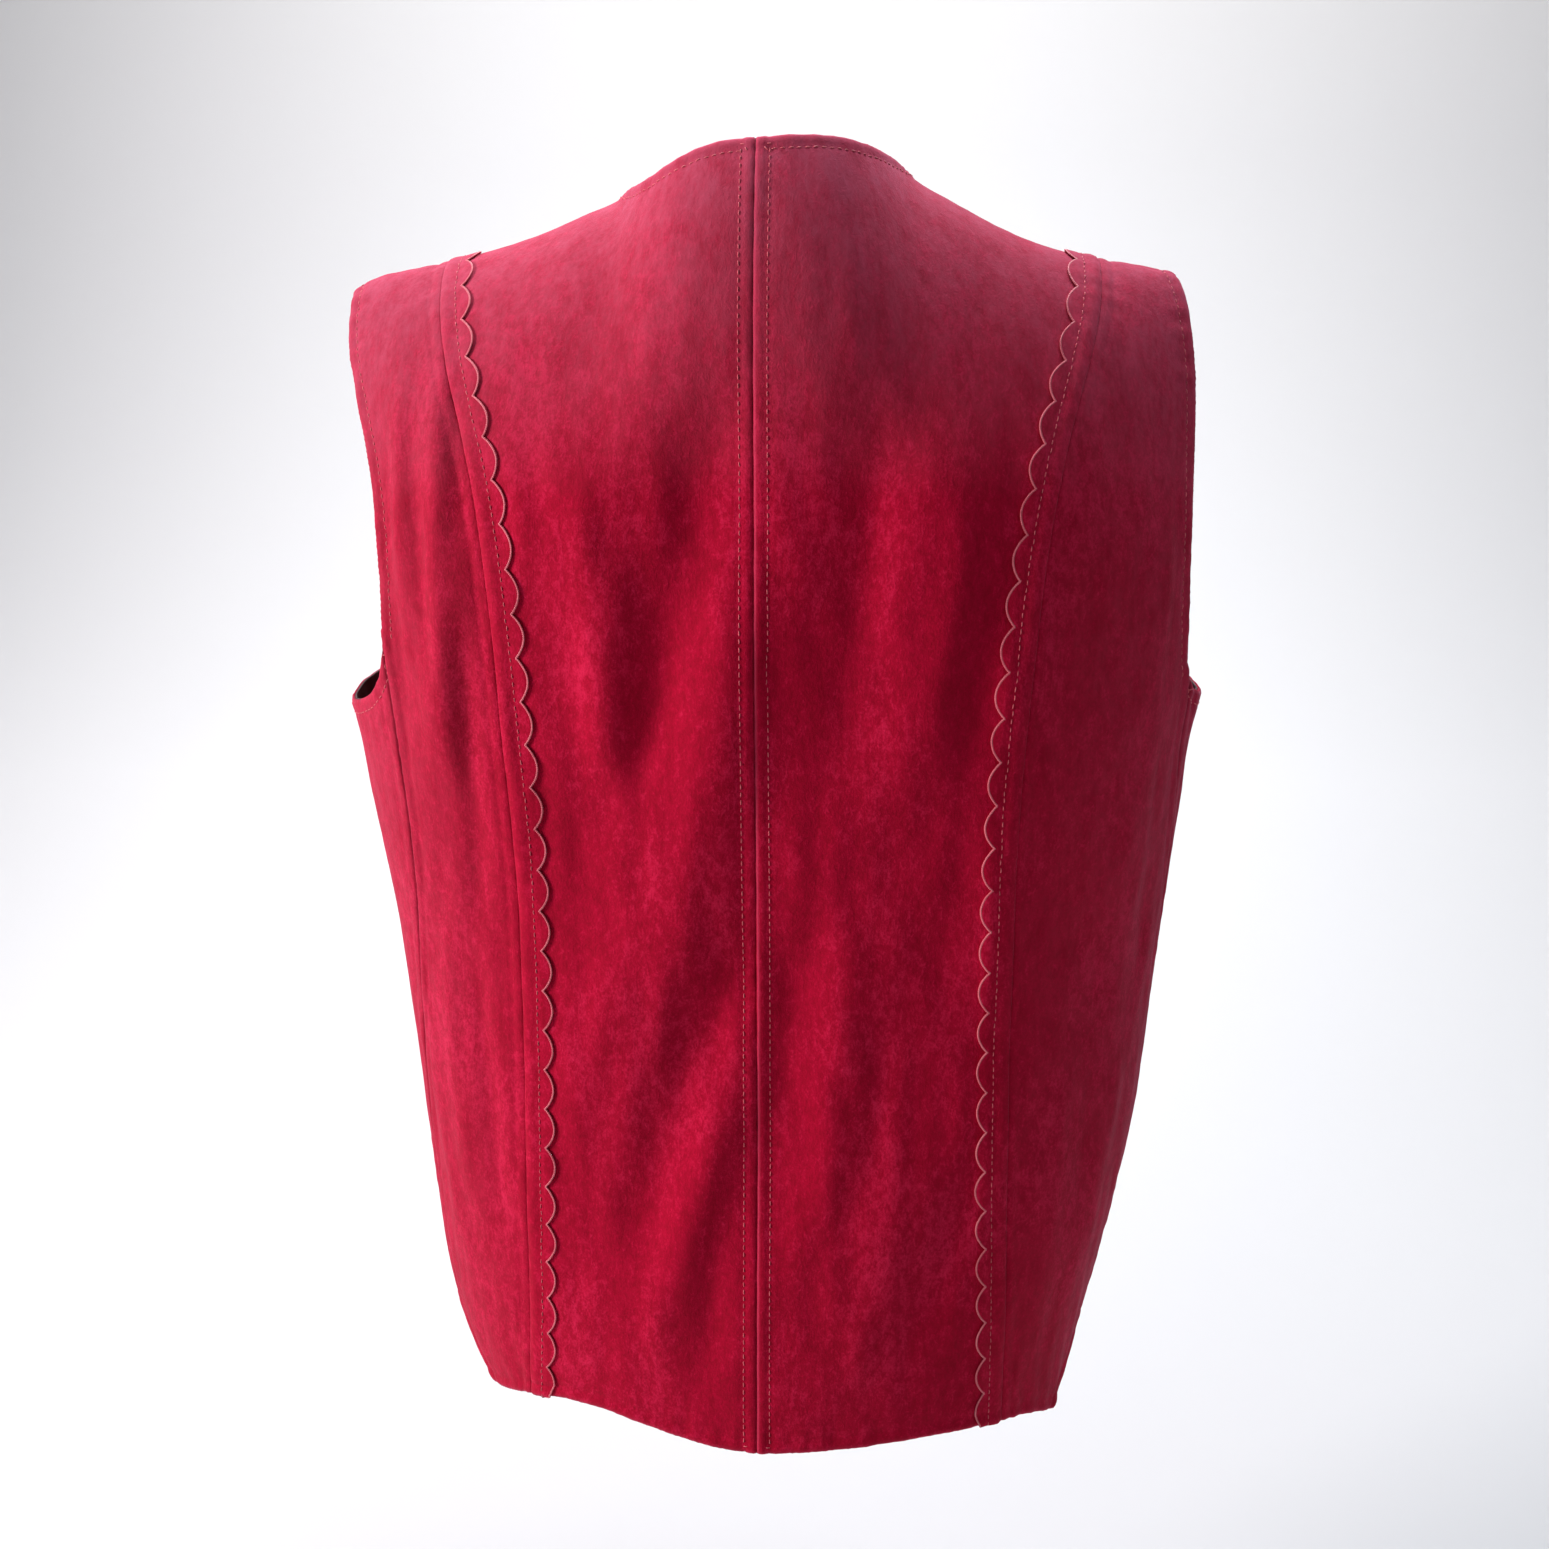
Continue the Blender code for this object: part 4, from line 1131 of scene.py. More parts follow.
class Speck(NamedTuple):
    """A noise: how its height is squeezed, its scale, its detail and its roughness."""

    squeeze: float
    scale: float
    detail: float
    rough: float


PATCHES = Speck(0.42, 26.0, 3.0, 0.55)
CLOUDS = Speck(0.42, 95.0, 4.0, 0.62)
CLUMPS = Speck(0.62, 250.0, 5.0, 0.76)
BRUSH = Speck(0.30, 420.0, 3.0, 0.6)
GRAIN = Speck(0.8, 950.0, 3.0, 0.7)


@dataclass(frozen=True)
class Suede:
    """Crimson suede cloth: a short nap, brushed in patches, with painted sheen on the
    shoulders and sides, edges pale with wear, a painted highlight by the centre-back seam
    and painted shade in the seams.
    """

    name: str = "suede_cloth"
    deep: Colour = (0.350, 0.0003, 0.0180)
    full: Colour = (0.530, 0.0006, 0.0330)
    brushed: Colour = (0.740, 0.0200, 0.0860)
    painted_sheen: Colour = (0.520, 0.080, 0.140)
    wear_and_highlight: Colour = (0.680, 0.060, 0.130)
    # painted shade: the near-black colour mixed in along the seams
    groove: Colour = (0.085, 0.0004, 0.0060)
    glow: Colour = (0.95, 0.62, 0.86)
    roughness: float = 0.93
    nap: float = 0.7
    nap_height: float = 0.0005

    def made(self) -> bpy.types.Material:
        """The material."""
        finish = Finish(self.name, self.roughness)
        patches, clouds, clumps, brush, grain = (
            finish.noise(finish.coordinates(speck.squeeze), *speck[1:])
            for speck in (PATCHES, CLOUDS, CLUMPS, BRUSH, GRAIN)
        )
        tone = patches * 0.14 + clouds * 0.18 + clumps * 0.48 + grain * 0.34 + brush * 0.14
        base = finish.mixed(self.deep, self.full, finish.spread(tone, 0.54, 0.74))
        light = patches * 0.30 + clumps * 0.50 + grain * 0.30
        base = finish.mixed(base, self.brushed, finish.spread(light, 0.555, 0.72) * 0.62)
        # painted sheen: a pale pinkish haze mixed in on the shoulders and down the sides
        base = finish.mixed(base, self.painted_sheen, self.painted_sheen_share(finish, clouds, brush))
        edge = finish.node("ShaderNodeAttribute", {"attribute_name": "tone"})
        edge = finish.value(edge, "Fac")
        # pale free edges from wear, and a painted highlight beside the right centre-back
        # seam, where the tone is above 0
        base = finish.mixed(base, self.wear_and_highlight, finish.spread(edge, 0.0, 1.0) * 0.65)
        # painted shade in the seams, where the tone is below 0
        base = finish.mixed(base, self.groove, finish.spread(edge, 0.0, -1.0) * 0.7)
        finish.feed("Base Color", base)
        finish.feed("Roughness", 0.98 - 0.14 * clouds)
        height = grain * 0.7 + clumps * 0.8 + brush * 0.3 + clouds * 0.12
        finish.relief(height, self.nap, self.nap_height)
        finish.sheen(0.16, 0.34, self.glow)
        finish.shader.inputs["Specular IOR Level"].default_value = 0.12
        return finish.material

    def painted_sheen_share(self, finish: Finish, clouds: Value, brush: Value) -> Value:
        """Painted sheen: a pale pinkish haze painted on the shoulders, less down the sides.

        Args:
            finish: the material's nodes.
            clouds: noise that breaks the painted sheen up.
            brush: finer noise, along the nap.

        Returns:
            The share of the painted sheen colour.
        """
        place = finish.coordinates()
        across = finish.parted(place, "X")
        shoulders = finish.spread(finish.parted(place, "Z"), -0.155, -0.010)
        sides = finish.spread(across * across, 0.0110, 0.0400)
        uneven = 0.45 + 0.6 * finish.spread(clouds * 0.6 + brush * 0.4, 0.36, 0.64)
        return (shoulders * 0.84 + sides * 0.34) * uneven


@dataclass(frozen=True)
class WrongSide:
    """The back of the suede cloth: a plain close knit."""

    name: str = "suede_back"
    dark: Colour = (0.20, 0.012, 0.028)
    light: Colour = (0.30, 0.030, 0.050)
    painted_hollow_shade: Colour = (0.12, 0.006, 0.016)

    def made(self) -> bpy.types.Material:
        """The material."""
        finish = Finish(self.name, 0.9)
        place = finish.coordinates()
        ribs = finish.ridges(place, "Z", 420.0, 1.5)
        colour = finish.mixed(self.dark, self.light, finish.noise(place, 60.0))
        # painted shade between the ribs of the knit
        finish.feed("Base Color", finish.mixed(colour, self.painted_hollow_shade, (1 - ribs) * 0.4))
        finish.relief(ribs, 0.3, 0.0003)
        return finish.material


@dataclass(frozen=True)
class LiningCloth:
    """Dark maroon lining: a fine twill with a slight gloss."""

    name: str = "lining_cloth"
    dark: Colour = (0.045, 0.004, 0.007)
    light: Colour = (0.085, 0.010, 0.014)
    ridge: Colour = (0.12, 0.02, 0.025)

    def made(self) -> bpy.types.Material:
        """The material."""
        finish = Finish(self.name, 0.42)
        place = finish.coordinates()
        lines = finish.ridges(place, "DIAGONAL", 650.0, 0.6)
        cloud = finish.noise(place, 45.0)
        colour = finish.mixed(self.dark, self.light, cloud)
        # painted highlight: the twill's ridges mixed lighter
        finish.feed("Base Color", finish.mixed(colour, self.ridge, lines * 0.25))
        finish.feed("Roughness", 0.38 + cloud * 0.16)
        finish.relief(lines, 0.25, 0.0002)
        return finish.material


@dataclass(frozen=True)
class Thread:
    """Twisted sewing thread."""

    name: str
    colour: Colour
    shade: Colour
    glow: Colour = (1.0, 0.85, 0.85)

    def made(self) -> bpy.types.Material:
        """The material."""
        finish = Finish(self.name, 0.55)
        place = finish.coordinates()
        twist = finish.noise(place, 2600.0, 1.0)
        fade = finish.noise(place, 30.0, 2.0)
        tone = finish.spread(twist * 0.6 + fade * 0.4, 0.35, 0.62)
        finish.feed("Base Color", finish.mixed(self.shade, self.colour, tone))
        finish.feed("Roughness", 0.46 + fade * 0.2)
        finish.relief(twist, 0.4, 0.0001)
        finish.sheen(0.2, 0.4, self.glow)
        return finish.material


@dataclass(frozen=True)
class ButtonResin:
    """Dark red moulded button, faintly marbled."""

    name: str = "button_resin"
    dark: Colour = (0.055, 0.004, 0.008)
    light: Colour = (0.19, 0.012, 0.024)

    def made(self) -> bpy.types.Material:
        """The material."""
        finish = Finish(self.name, 0.28)
        place = finish.coordinates()
        marble = finish.noise(place, 240.0, 4.0, 0.6)
        scratch = finish.noise(place, 1800.0, 2.0)
        finish.feed("Base Color", finish.mixed(self.dark, self.light, marble))
        finish.feed("Roughness", 0.22 + scratch * 0.16)
        finish.relief(scratch, 0.12, 0.0001)
        return finish.material


STRIP_SUEDE = Suede(name="strip_suede", nap=0.5)
TOPSTITCH = Thread("topstitch_thread", (0.82, 0.150, 0.180), (0.52, 0.050, 0.075))
SCALLOP_THREAD = Thread("scallop_thread", (0.84, 0.190, 0.230), (0.58, 0.070, 0.100))


@dataclass
class Wardrobe:
    """Every finish of the vest, made once."""

    suede: bpy.types.Material = field(default_factory=Suede().made)
    strip: bpy.types.Material = field(default_factory=STRIP_SUEDE.made)
    wrong: bpy.types.Material = field(default_factory=WrongSide().made)
    lining: bpy.types.Material = field(default_factory=LiningCloth().made)
    topstitch: bpy.types.Material = field(default_factory=TOPSTITCH.made)
    cord: bpy.types.Material = field(default_factory=SCALLOP_THREAD.made)
    resin: bpy.types.Material = field(default_factory=ButtonResin().made)


def dress(obj: bpy.types.Object, slot: str, *materials: bpy.types.Material) -> None:
    """Gives an object its materials and its place on the vest's one body."""
    for material in materials:
        obj.data.materials.append(material)
    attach(obj, "root")
    faces = sum(len(p.vertices) - 2 for p in obj.data.polygons)
    log.info("%s: %d triangles", obj.name, faces)


@dataclass
class Panel:
    """A panel of the vest: its sheet, and the wall and stitches made from it."""

    part: ClassVar[str]
    flat: ClassVar[tuple[float, float]]
    area: ClassVar[float]
    kinds: ClassVar[dict[str, Edge]]
    stitch_lines: ClassVar[dict[str, float]]

    side: Side
    form: VestForm
    wardrobe: Wardrobe
    dressing: EdgeDressing = field(default_factory=EdgeDressing)
    stitching: Stitching = field(default_factory=Stitching)
    step: float = 0.0021
    hem_extra: float = 0.0012
    hem_step: float = 0.0012
    hem_depth: float = 0.0095

    def shares(self) -> tuple[np.ndarray, int]:
        """How far up from the hem to the underarm each row stands, and the vent's rows."""
        vent = VENT_HEIGHT / UNDERARM_HEIGHT
        low = graded(VENT_HEIGHT, self.step, (True, False)) * vent
        high = graded(UNDERARM_HEIGHT - VENT_HEIGHT, self.step, (False, False))
        return np.concatenate([low, vent + high[1:] * (1 - vent)]), len(low) - 1

    def climb(self) -> np.ndarray:
        """How far up from the underarm to the shoulder each row stands."""
        return graded(BACK_LENGTH - UNDERARM_HEIGHT, self.step, (False, True))

    def blended(
        self,
        low: np.ndarray,
        high: np.ndarray,
        first: np.ndarray,
        last: np.ndarray,
        across: np.ndarray,
    ) -> np.ndarray:
        """Values inside four edges, blended from all of them.

        Args:
            low: the values along the bottom.
            high: the values along the top.
            first: the values up the first side, bottom to top.
            last: the values up the last side.
            across: how far each column stands between the sides.

        Returns:
            A row of values for each step up.
        """
        up = self.climb()[:, None]
        sides = first[:, None] * (1 - across) + last[:, None] * across
        bottom = low - low[0] * (1 - across) - low[-1] * across
        top = high - high[0] * (1 - across) - high[-1] * across
        return sides + bottom * (1 - up) + top * up

    def princess_rows(self) -> tuple[np.ndarray, np.ndarray]:
        """`around` and `wrap` of the princess seam at every row, hem to shoulder."""
        form, side = self.form, self.side
        shares, _ = self.shares()
        around = np.full(len(shares), 0.45)
        for _ in range(ROUNDS // 2):
            height = form.lower_height(side, around, shares, UNDERARM_HEIGHT)
            around = form.around_of(side, form.princess[side](height), height)
        wrap = form.wrap_of(side, around, height)
        upper_wrap = wrap[-1] * (1 - self.climb()[1:])
        upper = np.full(len(upper_wrap), around[-1])
        for _ in range(ROUNDS):
            height = form.surface(side, upper, upper_wrap)[..., 2] - HEM_Z
            upper = form.around_of(side, form.princess[side](height), height)
        return np.append(around, upper), np.append(wrap, upper_wrap)

    def dressed(self, plain: Sheet) -> tuple[Sheet, np.ndarray]:
        """The sheet with its sewn edges shaped.

        Args:
            plain: the plain sheet, with its edges.

        Returns:
            The shaped sheet, and its tone: up to 1 where an edge is pale with wear or a
                painted
            highlight lies beside the centre-back seam, and down to -1 for painted shade in
            a seam.
        """
        rise, tone, shade = (np.zeros(len(plain.points)) for _ in range(3))
        self.thickness = np.full(len(plain.points), CLOTH)
        for salt, (name, kind) in enumerate(self.kinds.items()):
            line = dense_line(plain.points[plain.edges[name]])
            far, step = distance_to_line(plain.points, line)
            rise += self.dressing.rise(kind, far, step, salt + 3)
            # painted shade along every seam, kept as a tone below 0
            if kind is Edge.SEAM:
                shade = np.minimum(shade, -bell(far, SEAM_SHADE_WIDE))
            # painted highlight: a pale line beside the centre-back seam, on the right panel
            # only
            if name == "centre" and self.side is Side.RIGHT:
                tone = np.maximum(tone, bell(far - CENTRE_HIGHLIGHT_AT, CENTRE_HIGHLIGHT_WIDE))
            if kind is Edge.FREE:
                tone = np.maximum(tone, EDGE_WEAR * bell(far, EDGE_WEAR_WIDE))
                turned = eased((self.hem_depth - far) / self.hem_step)
                doubled = CLOTH + self.hem_extra * turned
                self.thickness = np.maximum(self.thickness, doubled)
        points = plain.points + plain.normals() * rise[:, None]
        moved = Sheet(points, plain.quads, plain.edges)
        _, off = moved.ways_off(moved.normals())
        for name, kind in self.kinds.items():
            if kind is Edge.SEAM:
                index = plain.edges[name][1:-1]
                moved.points[index] += off[index] * SEAM_OVERLAP
        return moved, tone + shade

    def sewn(self, plain: Sheet, sheet: Sheet, tone: np.ndarray) -> Sheet:
        """Makes the wall and its topstitching, and gives them their materials.

        Args:
            plain: the sheet before its edges were shaped.
            sheet: the sheet as it is worn.
            tone: the wear, painted highlight and painted seam shade at each point.

        Returns:
            The sheet as it is worn.
        """
        side_name = self.side.name.lower()
        node = f"{self.part}_{side_name}"
        wall = shell(f"{self.part}_cloth_{side_name}", sheet, self.thickness, tone)
        dress(wall, "suede_cloth", self.wardrobe.suede, self.wardrobe.wrong)
        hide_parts(node)
        name = f"{self.part}_stitches_{side_name}"
        tailoring = Tailoring(sheet, plain)
        rng = np.random.default_rng(len(name) * 7 + int(self.side) + 5)
        parts = [
            self.stitching.along(tailoring, tailoring.beside(edge, distance), rng)
            for edge, distance in self.stitch_lines.items()
        ]
        stitches = joined_object(name, parts)
        dress(stitches, "suede_cloth", self.wardrobe.topstitch)
        log.info("%s area %.4f", wall.name, sheet.area())
        return sheet


@dataclass
class CentreBack(Panel):
    """One centre back, from the centre-back seam to the princess seam."""

    part = "centre_back"
    flat = (0.158, 0.612)
    area = 0.0765
    kinds = {
        "centre": Edge.SEAM,
        "princess": Edge.SEAM,
        "neck": Edge.FREE,
        "shoulder": Edge.SEAM,
        "hem": Edge.FREE,
    }
    stitch_lines = {"centre": SEAM_STITCH_LINE, "neck": EDGE_STITCH_LINE}

    strip_width: float = 0.019
    yoke_width: float = 0.045

    def plain_sheet(self) -> Sheet:
        """The panel before its edges are shaped."""
        form, side = self.form, self.side
        seam_around, seam_wrap = self.princess_rows()
        nudge = 0.01
        there = form.surface(side, seam_around, seam_wrap)
        here = form.surface(side, seam_around - nudge, seam_wrap)
        strip = self.strip_width * nudge / np.linalg.norm(there - here, axis=-1)
        crest = float(form.crest_z[side](NECK_HALF_WIDTH)) - HEM_Z
        neck_around = float(form.around_of(side, NECK_HALF_WIDTH, crest))
        neck = neck_around / (seam_around[-1] - strip[-1])
        share = graded(NECK_HALF_WIDTH, self.step, (True, False))
        yoke = graded(self.yoke_width, self.step, (False, False))
        part = np.append(share * neck, neck + yoke[1:] * (1 - neck))
        around = np.outer(seam_around - strip, part)
        last = graded(self.strip_width, self.step, (False, True))[1:]
        around = np.concatenate(
            [around, (seam_around - strip)[:, None] + np.outer(strip, last)], axis=1
        )
        shares, _ = self.shares()
        lower = len(shares)
        corner = len(share) - 1
        height = form.lower_height(side, around[:lower], shares[:, None], UNDERARM_HEIGHT)
        wrap = np.zeros_like(around)
        wrap[:lower] = form.wrap_of(side, around[:lower], height)
        climb = self.climb()[1:, None]
        wrap[lower:] = wrap[lower - 1] * (1 - climb)
        at_corner = form.surface(side, around[lower:, corner], wrap[lower:, corner])
        corner_height = at_corner[:, 2] - HEM_Z
        start = UNDERARM_HEIGHT
        rolled = (corner_height - start) / (crest - start)
        neck_height = NECK_BACK_HEIGHT + (crest - NECK_BACK_HEIGHT) * share**2
        dip = np.sin(share ** NECK_DIP_LATE[side] * math.pi)
        neck_height = neck_height - NECK_DIP[side] * dip
        held = share**6
        gone = climb * (1 - held) + rolled[:, None] * held
        neck_rows = start + (neck_height - start) * gone
        under_neck = around[lower:, : corner + 1]
        wrap[lower:, : corner + 1] = form.wrap_of(side, under_neck, neck_rows)
        wrap[-1, corner] = 0.0
        grid = form.surface(side, around, wrap)
        # Both panels pass the middle a little, so that no gap shows
        grid[:, 0, 0] = -side * SEAM_OVERLAP
        sheet, (index,) = Sheet.from_grids([(grid, side is Side.LEFT)])
        sheet.edges = {
            "centre": index[:, 0],
            "princess": index[:, -1],
            "strip": index[:, -len(last) - 1],
            "neck": index[-1, : corner + 1],
            "shoulder": index[-1, corner:],
            "hem": index[0],
        }
        return sheet

    def build(self) -> Sheet:
        """Builds the panel with its topstitching, and returns its finished sheet."""
        plain = self.plain_sheet()
        sheet, tone = self.dressed(plain)
        sheet.points[sheet.edges["centre"], 0] = -self.side * SEAM_OVERLAP
        return self.sewn(plain, sheet, tone)


@dataclass
class SideBack(Panel):
    """One side back, from the princess seam to the side seam and the armhole."""

    part = "side_back"
    flat = (0.125, 0.590)
    area = 0.0480
    kinds = {
        "princess": Edge.SEAM,
        "vent": Edge.FREE,
        "side": Edge.SEAM,
        "armhole": Edge.ARMHOLE,
        "shoulder": Edge.SEAM,
        "hem": Edge.FREE,
    }
    stitch_lines = {"armhole": EDGE_STITCH_LINE}

    width: float = 0.115

    def grid(self) -> np.ndarray:
        """The panel's points, hem to shoulder, princess seam to side."""
        form, side = self.form, self.side
        seam_around, seam_wrap = self.princess_rows()
        shares, _ = self.shares()
        lower = len(shares)
        edge_top = ARMHOLE_BACK[side][0].height
        across = graded(self.width, self.step)
        top = UNDERARM_HEIGHT + (edge_top - UNDERARM_HEIGHT) * across
        vent = np.clip(1 - shares * UNDERARM_HEIGHT / VENT_HEIGHT, 0.0, 1.0)
        outer = form.side_seam[side](edge_top * shares) - VENT_WIDTH * vent
        around = seam_around[:lower, None] * (1 - across) + outer[:, None] * across
        height = form.lower_height(side, around, shares[:, None], top)
        wrap = form.wrap_of(side, around, height)
        edge = form.edge_curve(side, ARMHOLE_BACK[side], SHOULDER_TIP[side], self.climb())
        tip = seam_around[-1] * (1 - across) + edge[0][-1] * across
        seam = seam_around[lower - 1 :], seam_wrap[lower - 1 :]
        upper = self.blended(around[-1], tip, seam[0], edge[0], across)
        upper_wrap = self.blended(wrap[-1], tip * 0, seam[1], edge[1], across)
        return form.surface(
            side,
            np.concatenate([around, upper[1:]]),
            np.concatenate([wrap, upper_wrap[1:]]),
        )

    def build(self) -> Sheet:
        """Builds the panel with its topstitching, and returns its finished sheet."""
        side = self.side
        plain, (index,) = Sheet.from_grids([(self.grid(), side is Side.LEFT)])
        shares, vent = self.shares()
        lower = len(shares)
        plain.edges = {
            "princess": index[:, 0],
            "vent": index[: vent + 1, -1],
            "side": index[vent:lower, -1],
            "armhole": index[lower - 1 :, -1],
            "shoulder": index[-1],
            "hem": index[0],
        }
        return self.sewn(plain, *self.dressed(plain))


@dataclass
class Front(Panel):
    """One front, in one piece from side seam to lapped edge."""

    part = "front"
    flat = (0.345, 0.630)
    area = 0.1500
    kinds = {
        "side": Edge.SEAM,
        "vent": Edge.FREE,
        "under": Edge.ARMHOLE,
        "armhole": Edge.ARMHOLE,
        "shoulder": Edge.SEAM,
        "edge": Edge.FREE,
        "neck": Edge.FREE,
        "hem": Edge.FREE,
    }
    stitch_lines = dict.fromkeys(("under", "armhole", "edge", "neck"), EDGE_STITCH_LINE)

    step: float = 0.0025
    front_width: float = 0.190
    under_width: float = 0.150
    lap_level: float = 0.25
    lap_end: float = 0.030
    lap_run: float = 0.016
    neck_steps: int = 41
    neck_round: float = 0.9

    def underlap(self, around: np.ndarray) -> Any:
        """How far the left front sinks to pass under the right one."""
        if self.side is Side.RIGHT:
            return 0.0
        width = self.form.half_width[self.side](self.lap_level)
        across = width * np.sin(around * QUARTER)
        return UNDERLAP_DEPTH * eased((self.lap_end - across) / self.lap_run)

    def grids(self) -> tuple[np.ndarray, np.ndarray]:
        """The points below and above the level of the neckline's foot."""
        form, side = self.form, self.side
        shares, _ = self.shares()
        seam_top = ARMHOLE_UNDER[side][-1].height
        vent = np.clip(1 - shares * UNDERARM_HEIGHT / VENT_HEIGHT, 0.0, 1.0)
        seam = form.side_seam[side](seam_top * shares) + VENT_WIDTH * vent
        inner = 2 - form.around_of(side, -OVERLAP_HALF, NECKLINE_HEIGHT * shares)
        turn = FRONT_TURN_HEM * (1 - shares) + ARMHOLE_UNDER[side][0].around * shares
        part = graded(self.front_width, self.step)
        front = inner[:, None] * (1 - part) + turn[:, None] * part
        steps = graded(self.under_width, self.step)
        under = form.edge_curve(side, ARMHOLE_UNDER[side], None, steps)
        under_height = form.surface(side, under[0], under[1])[:, 2] - HEM_Z
        under_height[-1] = seam_top
        rest = (under[0] - under[0][0]) / (under[0][-1] - under[0][0])
        back = turn[:, None] * (1 - rest[1:]) + seam[:, None] * rest[1:]
        around = np.concatenate([front, back], axis=1)
        top = np.append(np.full(len(part), NECKLINE_HEIGHT), under_height[1:])
        hem_side = np.where(around > 1, 2 - around, around)
        height = form.lower_height(side, hem_side, shares[:, None], top)
        wrap = form.wrap_of(side, around, height)
        low = form.surface(side, around, wrap, self.underlap(around))
        steps = np.linspace(0.0, 1.0, self.neck_steps)
        crest = float(form.crest_z[side](NECK_HALF_WIDTH)) - HEM_Z
        reach = NECK_HALF_WIDTH + OVERLAP_HALF
        across = -OVERLAP_HALF + reach * np.sin(steps * QUARTER) ** self.neck_round
        line_height = NECKLINE_HEIGHT + (crest - NECKLINE_HEIGHT) * steps
        line = 2 - form.around_of(side, across, line_height)
        line_wrap = form.wrap_of(side, line, line_height)
        line_wrap[-1] = 0.0
        climb = self.climb()
        line, line_wrap = form.even_steps(side, line, line_wrap, climb)
        edge = form.edge_curve(side, ARMHOLE_FRONT, 2 - SHOULDER_TIP[side], climb)
        tip = line[-1] * (1 - part) + edge[0][-1] * part
        high = self.blended(front[-1], tip, line, edge[0], part)
        level = wrap[-1, : len(part)]
        high_wrap = self.blended(level, tip * 0, line_wrap, edge[1], part)
        rolled = form.surface(side, high, high_wrap)[..., 2] - HEM_Z
        even = self.blended(top[: len(part)], rolled[-1], rolled[:, 0], rolled[:, -1], part)
        share = climb[:, None] ** 2
        inner_wrap = form.wrap_of(side, high, even * (1 - share) + rolled * share)
        high_wrap[:-1, 1:-1] = inner_wrap[:-1, 1:-1]
        return low, form.surface(side, high, high_wrap, self.underlap(high))

    def build(self) -> Sheet:
        """Builds the front with its topstitching, and returns its finished sheet."""
        turned = self.side is Side.RIGHT
        low, high = self.grids()
        plain, (lower, upper) = Sheet.from_grids([(low, turned), (high, turned)])
        _, vent = self.shares()
        plain.edges = {
            "side": lower[vent:, -1],
            "vent": lower[: vent + 1, -1],
            "under": lower[-1, upper.shape[1] - 1 :],
            "armhole": upper[:, -1],
            "shoulder": upper[-1],
            "edge": lower[:, 0],
            "neck": upper[:, 0],
            "hem": lower[0],
        }
        sheet, tone = self.dressed(plain)
        if self.side is Side.LEFT:
            self.thickness[:] = CLOTH
        return self.sewn(plain, sheet, tone)


@dataclass
class ScallopStrip:
    """The strip caught in a princess seam, its scalloped edge worked in close stitches."""

    side: Side
    wardrobe: Wardrobe
    rows_per_scallop: int = 22
    columns: int = 9
    under: float = 0.00022
    cloth: float = 0.0009
    stitch_line: float = 0.0080
    groove: float = 0.00025
    groove_width: float = 0.001
    cord_sunk: float = 0.00022
    cord_inset: float = 0.00030

    def build(self, panel: Sheet) -> None:
        """Builds the strip and its thread on a finished centre back."""
        side_name = self.side.name.lower()
        seam = panel.points[panel.edges["princess"]]
        length = lengths_along(seam)
        rows = round(length[-1] / SCALLOP_PITCH) * self.rows_per_scallop
        at = np.linspace(0.0, length[-1], rows + 1)
        start = read_off(seam, length, at)
        ahead = read_off(panel.points[panel.edges["strip"]], length, at)
        way = unit(ahead - start)
        phase = np.arange(rows + 1) / self.rows_per_scallop
        swell = np.abs(np.sin(math.pi * phase)) ** 0.8
        width = SCALLOP_ROOT + SCALLOP_DEPTH * swell
        far = width[:, None] * np.linspace(0.0, 1.0, self.columns + 1)
        place = start[:, None] + way[:, None] * far[..., None]
        found, up, _ = Tailoring(panel, panel).settle(place.reshape(-1, 3), slack=1.0)
        up = up.reshape(place.shape)
        groove = self.groove * bell(far - self.stitch_line, self.groove_width)
        lift = self.under + self.cloth - groove
        grid = found.reshape(place.shape) + up * lift[..., None]
        sheet, (index,) = Sheet.from_grids([(grid, self.side is Side.RIGHT)])
        obj = shell(f"scallop_strip_cloth_{side_name}", sheet, self.cloth)
        dress(obj, "strip_cloth", self.wardrobe.strip, self.wardrobe.wrong)
        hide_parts(f"scallop_strip_{side_name}")
        on_strip = Tailoring(sheet, sheet)
        scallops = index[:, -1]
        edge = sheet.points[scallops] - up[:, -1] * self.cord_sunk
        edge = edge - on_strip.off[scallops] * self.cord_inset
        cord = joined_object(
            f"scallop_cord_{side_name}", [EdgeCord().along(edge, up[:, -1])]
        )
        dress(cord, "strip_cloth", self.wardrobe.cord)
        rng = np.random.default_rng(31 + int(self.side))
        line = start + way * self.stitch_line
        stitches = joined_object(
            f"scallop_stitches_{side_name}", [Stitching().along(on_strip, line, rng)]
        )
        dress(stitches, "strip_cloth", self.wardrobe.topstitch)
        log.info("%s area %.4f", obj.name, sheet.area())


